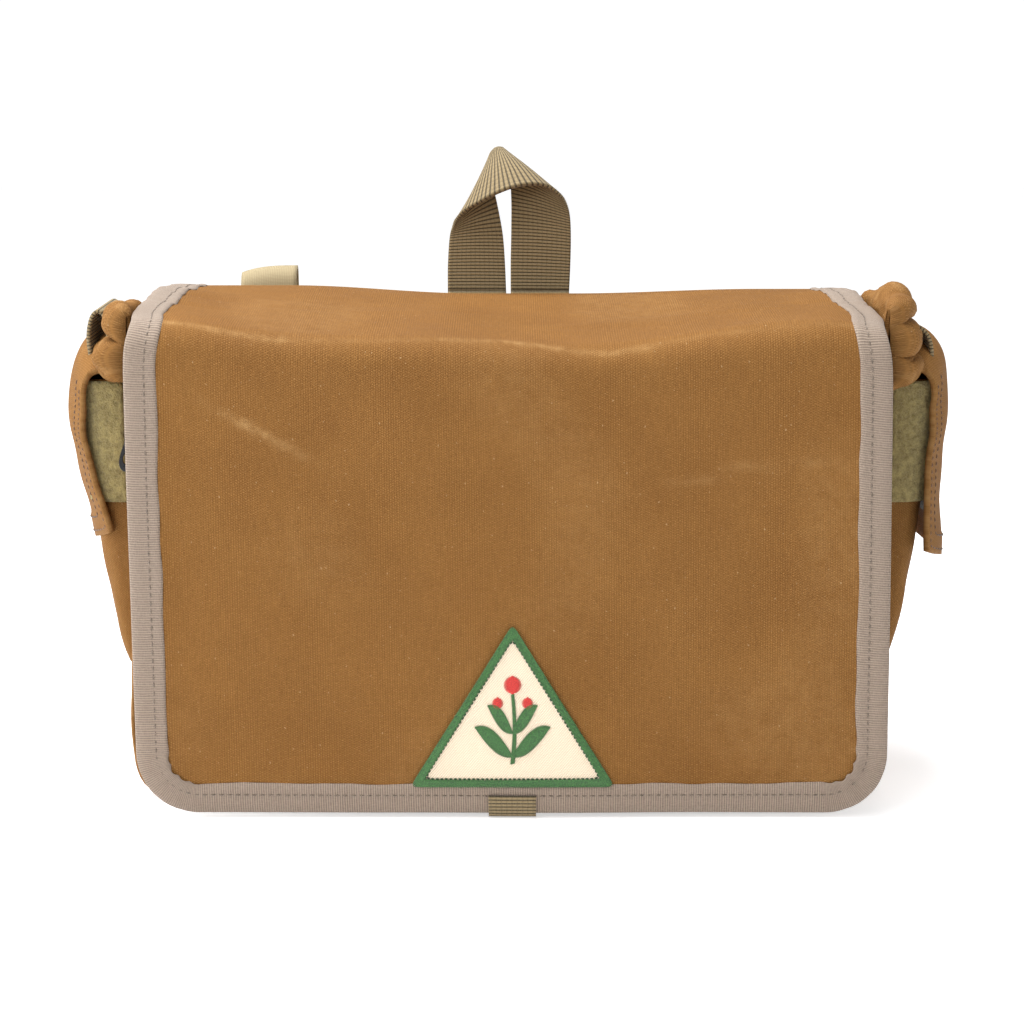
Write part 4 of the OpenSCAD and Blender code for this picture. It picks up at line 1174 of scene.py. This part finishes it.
brown_thread = thread_material("brown_thread", (0.13, 0.055, 0.022, 1), (0.04, 0.016, 0.006, 1))
for hand, side in ((-1, "left"), (1, "right")):
    seed = 50 + hand
    rows = np.concatenate([[POUCH_Z, POUCH_Z + 0.2, POUCH_Z + 0.8], np.linspace(POUCH_Z + 2.5, MOUTH_Z, 40)])
    shrink = np.concatenate([[0.02, 0.5, 0.85], np.ones(40)])
    points = pouch_point(pouch_turns[None, :], rows[:, None], seed, 0, shrink[:, None])
    uv = spread(pouch_arc, rows)
    pouch = grid_piece(f"{side}_pouch", to_side(points, hand), uv, flip=hand > 0, wear=0.1)
    thicken(pouch, 1.7, -1)
    finish_piece(pouch, canvas, "bag")
    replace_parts(pouch, f"{side}_pocket_pouch")

    rows, arc = np.linspace(band_low[2], band_high[2] - 0.4, 22), pouch_arc[2:-2]
    points = pouch_point(pouch_turns[None, 2:-2], rows[:, None], seed, 1.4)
    points[..., 0] += 0.35 * ripple(rows[:, None], arc[None, :], 71 + hand, 9, 1)
    loop_band = grid_piece(f"{side}_loop_band", to_side(points, hand), spread(arc, rows), flip=hand > 0)
    thicken(loop_band, 1.3, 0)
    finish_piece(loop_band, loop_tape, "bag")
    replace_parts(loop_band, f"{side}_pocket_loop_band")

    knots = smooth_path(LID_KNOTS[hand], 60)
    path = (path_length(knots), knots, 1.2 if hand > 0 else 0.5)
    lid_run = path[0][-1]
    q, y = np.meshgrid(np.linspace(0, lid_run, 60), np.linspace(-LID_HALF, LID_HALF, 48), indexing="ij")
    uv = np.stack([y, q], -1)
    edge_in = np.minimum(LID_HALF - np.abs(y), lid_run - q)
    hem = 0.5 * (1 - smooth_step(edge_in, 8.5, 10.5)) * smooth_step(q, 20, 30)
    lid = grid_piece(f"{side}_pocket_lid_cloth", to_side(lid_point(path, q, y, -hem), hand), uv,
                     flip=hand < 0, wear=0.1 + 0.35 * (edge_in < 1.5))
    thicken(lid, 2.2)
    finish_piece(lid, canvas)
    lid_body = f"{side}_pocket_lid"
    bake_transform(lid)
    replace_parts(lid, f"{side}_pocket_flap", f"{side}_pocket_yoke")

    for row, inset in (("outer", 2.2), ("inner", 8.2)):
        line = np.array([[26, -LID_HALF + inset], [lid_run - inset, -LID_HALF + inset],
                         [lid_run - inset, LID_HALF - inset], [26, LID_HALF - inset]])
        line = along_path(line, np.arange(0, path_length(line)[-1], 0.5))
        starts = np.arange(1, path_length(line)[-1] - 4, 3.3)
        a, b = along_path(line, starts), along_path(line, starts + 2.3)
        place = [to_side(lid_point(path, *p.T, -1.75), hand) for p in (a, b)]
        stitch_piece(f"{side}_lid_stitches_{row}", *place, np.tile([float(hand), 0, 0.02], (len(a), 1)),
                     0.8, brown_thread, "canvas", lid_body)

    q, y = np.meshgrid(np.linspace(lid_run - 62, lid_run - 14, 16), np.linspace(-38, 38, 24), indexing="ij")
    hooks = grid_piece(f"{side}_lid_hook_tape", to_side(lid_point(path, q, y, 1.7), hand), np.stack([y, q], -1),
                       flip=hand < 0)
    thicken(hooks, 1.0)
    finish_piece(hooks, hook_tape, lid_body)
    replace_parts(hooks, f"{side}_pocket_hook_tape")

# --- Gusset folds ------------------------------------------------------------------------
# Spare canvas at the top of each gusset. Nothing stiffens it, so the flap pushes it out
# into soft rolls, pinched at the corner seams.
FOLDS = {
    "left": (-1, [(151.0, 173.5), (157, 173.8), (163, 175.0), (167.2, 179.0), (168.0, 184.0), (163.0, 187.6),
                  (156.6, 189.2), (160.6, 192.4), (162.0, 196.8), (160.4, 200.8), (157.6, 203.0), (154.6, 203.6),
                  (152.6, 201), (152.2, 195), (152.2, 188)]),
    "right": (1, [(151.0, 171), (158, 171.4), (164, 173.2), (167.6, 177.6), (166.0, 181), (158.6, 183),
                  (164.4, 185.6), (167.2, 190.6), (164.6, 195), (158.6, 197.8), (158.4, 199.2), (163.0, 201.6),
                  (161.6, 205.4), (157.2, 206.8), (153.4, 205.0), (152.4, 198), (152.2, 189)]),
}
FOLD_DROP = {-1: 15.0, 1: 9.0}
FOLD_FRONT, FOLD_BACK = -60.0, 52.0
FOLD_CORE = np.array([151.5, 184.0])


def fold_points(knots, hand, seed):
    """The gathered cloth over a gusset: a profile of rolls and valleys in X and Z, carried
    from front to back, pinched towards the corner seams at both ends and crumpled between."""
    profile = smooth_path(knots, 90)
    y = np.linspace(-1, 1, 70)
    spaced = np.sign(y) * (1 - (1 - np.abs(y)) ** 1.5)
    place = (FOLD_FRONT + FOLD_BACK) / 2 + (FOLD_BACK - FOLD_FRONT) / 2 * spaced
    near, far = np.clip(-y, 0, 1) ** 4.5, np.clip(y, 0, 1) ** 7
    close = np.sqrt(np.clip(1 - near - far, 0, 1))[None, :]
    arc = np.linspace(0, path_length(profile)[-1], 90)[:, None]
    share = np.linspace(0, 1, 90)[:, None]
    drift = 1.6 * np.sin(place / 21 + seed)[None, :] + 0.8 * np.sin(place / 8.3 + 2 * seed)[None, :]
    p = profile[:, None] - FOLD_CORE
    size = (0.04 + 0.96 * close) * (1 + 0.012 * drift)
    heading = np.gradient(profile, axis=0)
    normal = np.stack([heading[:, 1], -heading[:, 0]], -1) / np.linalg.norm(heading, axis=-1, keepdims=True)
    crumple = ripple(arc, place[None, :], seed, 26, 1.1) + ripple(2 * arc, place[None, :], seed + 7, 15, 0.5)
    creases = ripple(arc, 0.7 * place[None, :], seed + 3, 30, 1)
    crumple = (crumple - 1.3 * np.exp(-(creases / 0.22) ** 2)) * close
    x = FOLD_CORE[0] + p[..., 0] * size + normal[:, None, 0] * crumple
    z = FOLD_CORE[1] + p[..., 1] * (0.8 + 0.2 * size) + normal[:, None, 1] * crumple + 0.7 * drift * share
    z = z - (FOLD_DROP[hand] * smooth_step(place, -46, 42))[None, :] * share
    points = np.stack(np.broadcast_arrays(x, place[None, :], z), -1)
    return points, spread(place, arc[:, 0])


for side, (hand, knots) in FOLDS.items():
    points, uv = fold_points(knots, hand, 83 + hand)
    fold = grid_piece(f"{side}_gusset_folds", to_side(points, hand), uv, flip=hand < 0,
                      wear=0.12 + 0.25 * (np.abs(ripple(uv[..., 1], uv[..., 0], 88, 12, 1)) > 0.95))
    thicken(fold, 1.6, -1)
    finish_piece(fold, canvas, "bag")
    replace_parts(fold, f"{side}_collar")

# --- Webbing pieces ----------------------------------------------------------------------
# Lash loops sewn into the top of both ends, and the carry handle: one length of ribbed
# webbing whose two ends lie side by side under a box of stitches on the back.
def ribbon(name, centre, sideways, thickness, look, body=None, u0=0.0, droop=0.0):
    """A strip of webbing: a run of centre points with a half-width vector at each; droop
    lets its first edge hang by that much at each point."""
    share = np.linspace(-1, 1, 15)
    points = centre[:, None] + share[None, :, None] * sideways[:, None]
    points[..., 2] -= np.asarray(droop)[..., None] * ((1 - share) / 2) ** 3
    run = path_length(centre)
    width = np.linalg.norm(sideways, axis=-1)
    uv = np.stack(np.broadcast_arrays(share[None, :] * width[:, None] + u0, run[:, None]), -1)
    made = grid_piece(name, points, uv)
    thicken(made, thickness)
    return finish_piece(made, look, body)


LASH_Y = -26.0
LASH_KNOTS = {
    "left": (-1, [(168.6, 181), (169.4, 190.5), (168, 198), (165.4, 200.8), (162.8, 198.6), (161.4, 191),
                  (160.8, 181)]),
    "right": (1, [(170.4, 177), (171.2, 184), (169.6, 190.6), (165.8, 194.2), (161.8, 193.2), (159.4, 187),
                  (158.8, 179)]),
}
for side, (hand, knots) in LASH_KNOTS.items():
    path = smooth_path(knots, 48)
    centre = np.insert(path * [hand, 1], 1, LASH_Y, axis=1)
    loop = ribbon(f"{side}_lash_webbing", centre, np.tile([-1.9 * hand, 9.8, 1.5], (48, 1)), 1.4, webbing,
                  "bag")
    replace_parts(loop, f"{side}_lash_loop")

WEBBING_T = 1.5
feet_low, feet_high = corners_of("handle_feet")
HANDLE_Z = corners_of("carry_handle")[0][2]
HANDLE_Y = feet_high[1] - WEBBING_T / 2
LEG_GAP, WEB_W, SPREAD = 2.0, 26.3, 10.0
# The webbing's two edges, each as x and height above the feet, from the left foot to the right.
LOW_ARCH = [(-27.3, 0), (-27.2, 12), (-26.4, 24), (-25.0, 29), (-23.2, 32.4), (-19.3, 36.4), (-13.6, 39.8),
            (-7.2, 43.4), (1.7, 46.9), (10.7, 48.3), (17.7, 47.2), (22.4, 44.0), (25.5, 40.0), (27.4, 34.1),
            (28.0, 25), (27.8, 12), (27.3, 0)]
TALL_ARCH = [(-1.0, 0), (-1.5, 12), (-2.5, 25), (-4.7, 37), (-7.6, 50), (-8.4, 58), (-7.6, 61.8), (-6.2, 63.4),
             (-4.4, 63.9), (-2.8, 63.6), (-1.4, 61.8), (-0.2, 57.5), (0.9, 50), (1.4, 40), (1.3, 27), (1.0, 13),
             (1.0, 0)]


def arch_edge(knots, lean):
    """One edge of the raised handle: an arch through its knots that leans back by lean, as
    sin cubed of the way round."""
    a = np.linspace(0, math.pi, len(knots))
    x, z = np.array(knots, float).T
    return knot_curve(np.stack([x, HANDLE_Y + lean * np.sin(a) ** 3, HANDLE_Z + z], -1))


outer, inner = (arch_edge(knots, lean)[::4] for knots, lean in ((LOW_ARCH, -SPREAD), (TALL_ARCH, SPREAD)))
round_by = np.sin(np.linspace(0, math.pi, len(outer)))[:, None, None]
share = np.linspace(0, 1, 22)
blend = share[None, :, None]
bow = 1.2 * np.sin(math.pi * blend) * round_by * np.array([0, -0.4, 0.9])
points = outer[:, None] * (1 - blend) + inner[:, None] * blend + bow
middle_run = path_length((outer + inner) / 2)
handle = grid_piece("carry_handle_webbing", points, spread(share * WEB_W, middle_run))
thicken(handle, WEBBING_T)
finish_piece(handle, webbing, "handle")
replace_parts(handle, "carry_handle")

BOX_STITCH = [[-9, 0], [9, 0], [9, 15], [-9, 15], [-9, 0], [9, 15], [9, 0], [-9, 15]]
foot_y, foot_z = feet_low[1] + 0.9, feet_low[2]
foot_path = smooth_path([(foot_y, foot_z), (foot_y, foot_z + 16), (HANDLE_Y - 1.6, HANDLE_Z - 8),
                         (HANDLE_Y, HANDLE_Z + 0.6)], 30)
for hand, side in ((-1, "left"), (1, "right")):
    middle = hand * (LEG_GAP / 2 + WEB_W / 2)
    foot = ribbon(f"{side}_handle_foot", np.insert(foot_path, 0, middle, axis=1),
                  np.tile([WEB_W / 2, 0.0, 0], (30, 1)), WEBBING_T, webbing, "bag", WEB_W / 2)
    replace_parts(foot, "handle_feet")
    flat_stitches(f"{side}_foot_box_stitches", np.array(BOX_STITCH) + [middle, foot_z + 1.5],
                  feet_low[1] + 1.85, -1, 3, 2.2, 3, 0.8, "webbing")

# --- Rear straps -------------------------------------------------------------------------
# Pale woven tape. Each band is sewn to an anchor under the back edge, stands up in a loop
# and hangs down to a landing strip of loop tape, which holds its end.
def strap_tape_material():
    """The smooth woven back of the tape: pale straw, with a fine even weave."""
    made, tree, shader = material("pale_tape", 0.8, specular=0.15)
    at = woven_uv(tree)
    cross = math_node(tree, "MULTIPLY", bands(tree, at, 0.8, "X"), bands(tree, at, 0.6, "Y"))
    colour = blend_colour(tree, cross, (0.32, 0.258, 0.152, 1), (0.46, 0.38, 0.238, 1))
    tree.links.new(colour, shader.inputs["Base Color"])
    raise_by(tree, shader, cross, 0.4, 0.0002)
    return made


strap_tape = strap_tape_material()
STRAP_Y, STRAP_Z = 70.5, 180.0
STRAP_FRONT = {"left": 81.0, "right": 78.8}
STRAP_TWIST = {"left": math.radians(4), "right": 0.0}
STRAP_HALF, STRAP_T, STRAP_DROOP = 12.5, 1.7, 3.0
for side, front in STRAP_FRONT.items():
    low, high = corners_of(f"{side}_strap_band")
    rise = high[2]
    knots = [(STRAP_Y - 1.2, STRAP_Z - 8), (STRAP_Y, STRAP_Z), (STRAP_Y + 5, STRAP_Z + 3.5),
             (front - 0.4, STRAP_Z + 0.42 * (rise - STRAP_Z)), (front + 1.2, rise - 4.5), (front + 7, rise - 0.6),
             (front + 11.6, rise - 4.5), (front + 12.4, STRAP_Z - 4), (77, STRAP_Z - 48), (73.2, 110),
             (72.6, low[2])]
    sway = (low[0] + high[0]) / 2 + 0.8 * np.sin(np.linspace(0, 5, 90))
    centre = np.insert(smooth_path(knots, 90), 0, sway, axis=1)
    twist = STRAP_TWIST[side] * smooth_step(centre[:, 2], STRAP_Z + 4, STRAP_Z + 20)
    half = STRAP_HALF * np.stack([np.cos(twist), -np.sin(twist), 0.06 * np.sin(twist)], -1)
    droop = STRAP_DROOP * smooth_step(centre[:, 2], STRAP_Z + 2, STRAP_Z + 22)
    strap = ribbon(f"{side}_strap_tape", centre, half, STRAP_T, strap_tape, droop=droop)
    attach(strap, f"{side}_strap")
    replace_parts(strap, f"{side}_strap_band")
    for node, name in (("strap_anchor", "strap_anchor_tape"), ("strap_landing", "strap_landing_pile")):
        low, high = corners_of(f"{side}_{node}")
        centre = np.tile((low + high) / 2 + [0, 0.1, 0], (30, 1))
        centre[:, 2] = np.linspace(low[2], high[2], 30)
        tape = ribbon(f"{side}_{name}", centre, np.tile([(high[0] - low[0]) / 2, 0.0, 0], (30, 1)),
                      high[1] - low[1] - 0.2, loop_tape, "bag")
        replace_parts(tape, f"{side}_{node}")
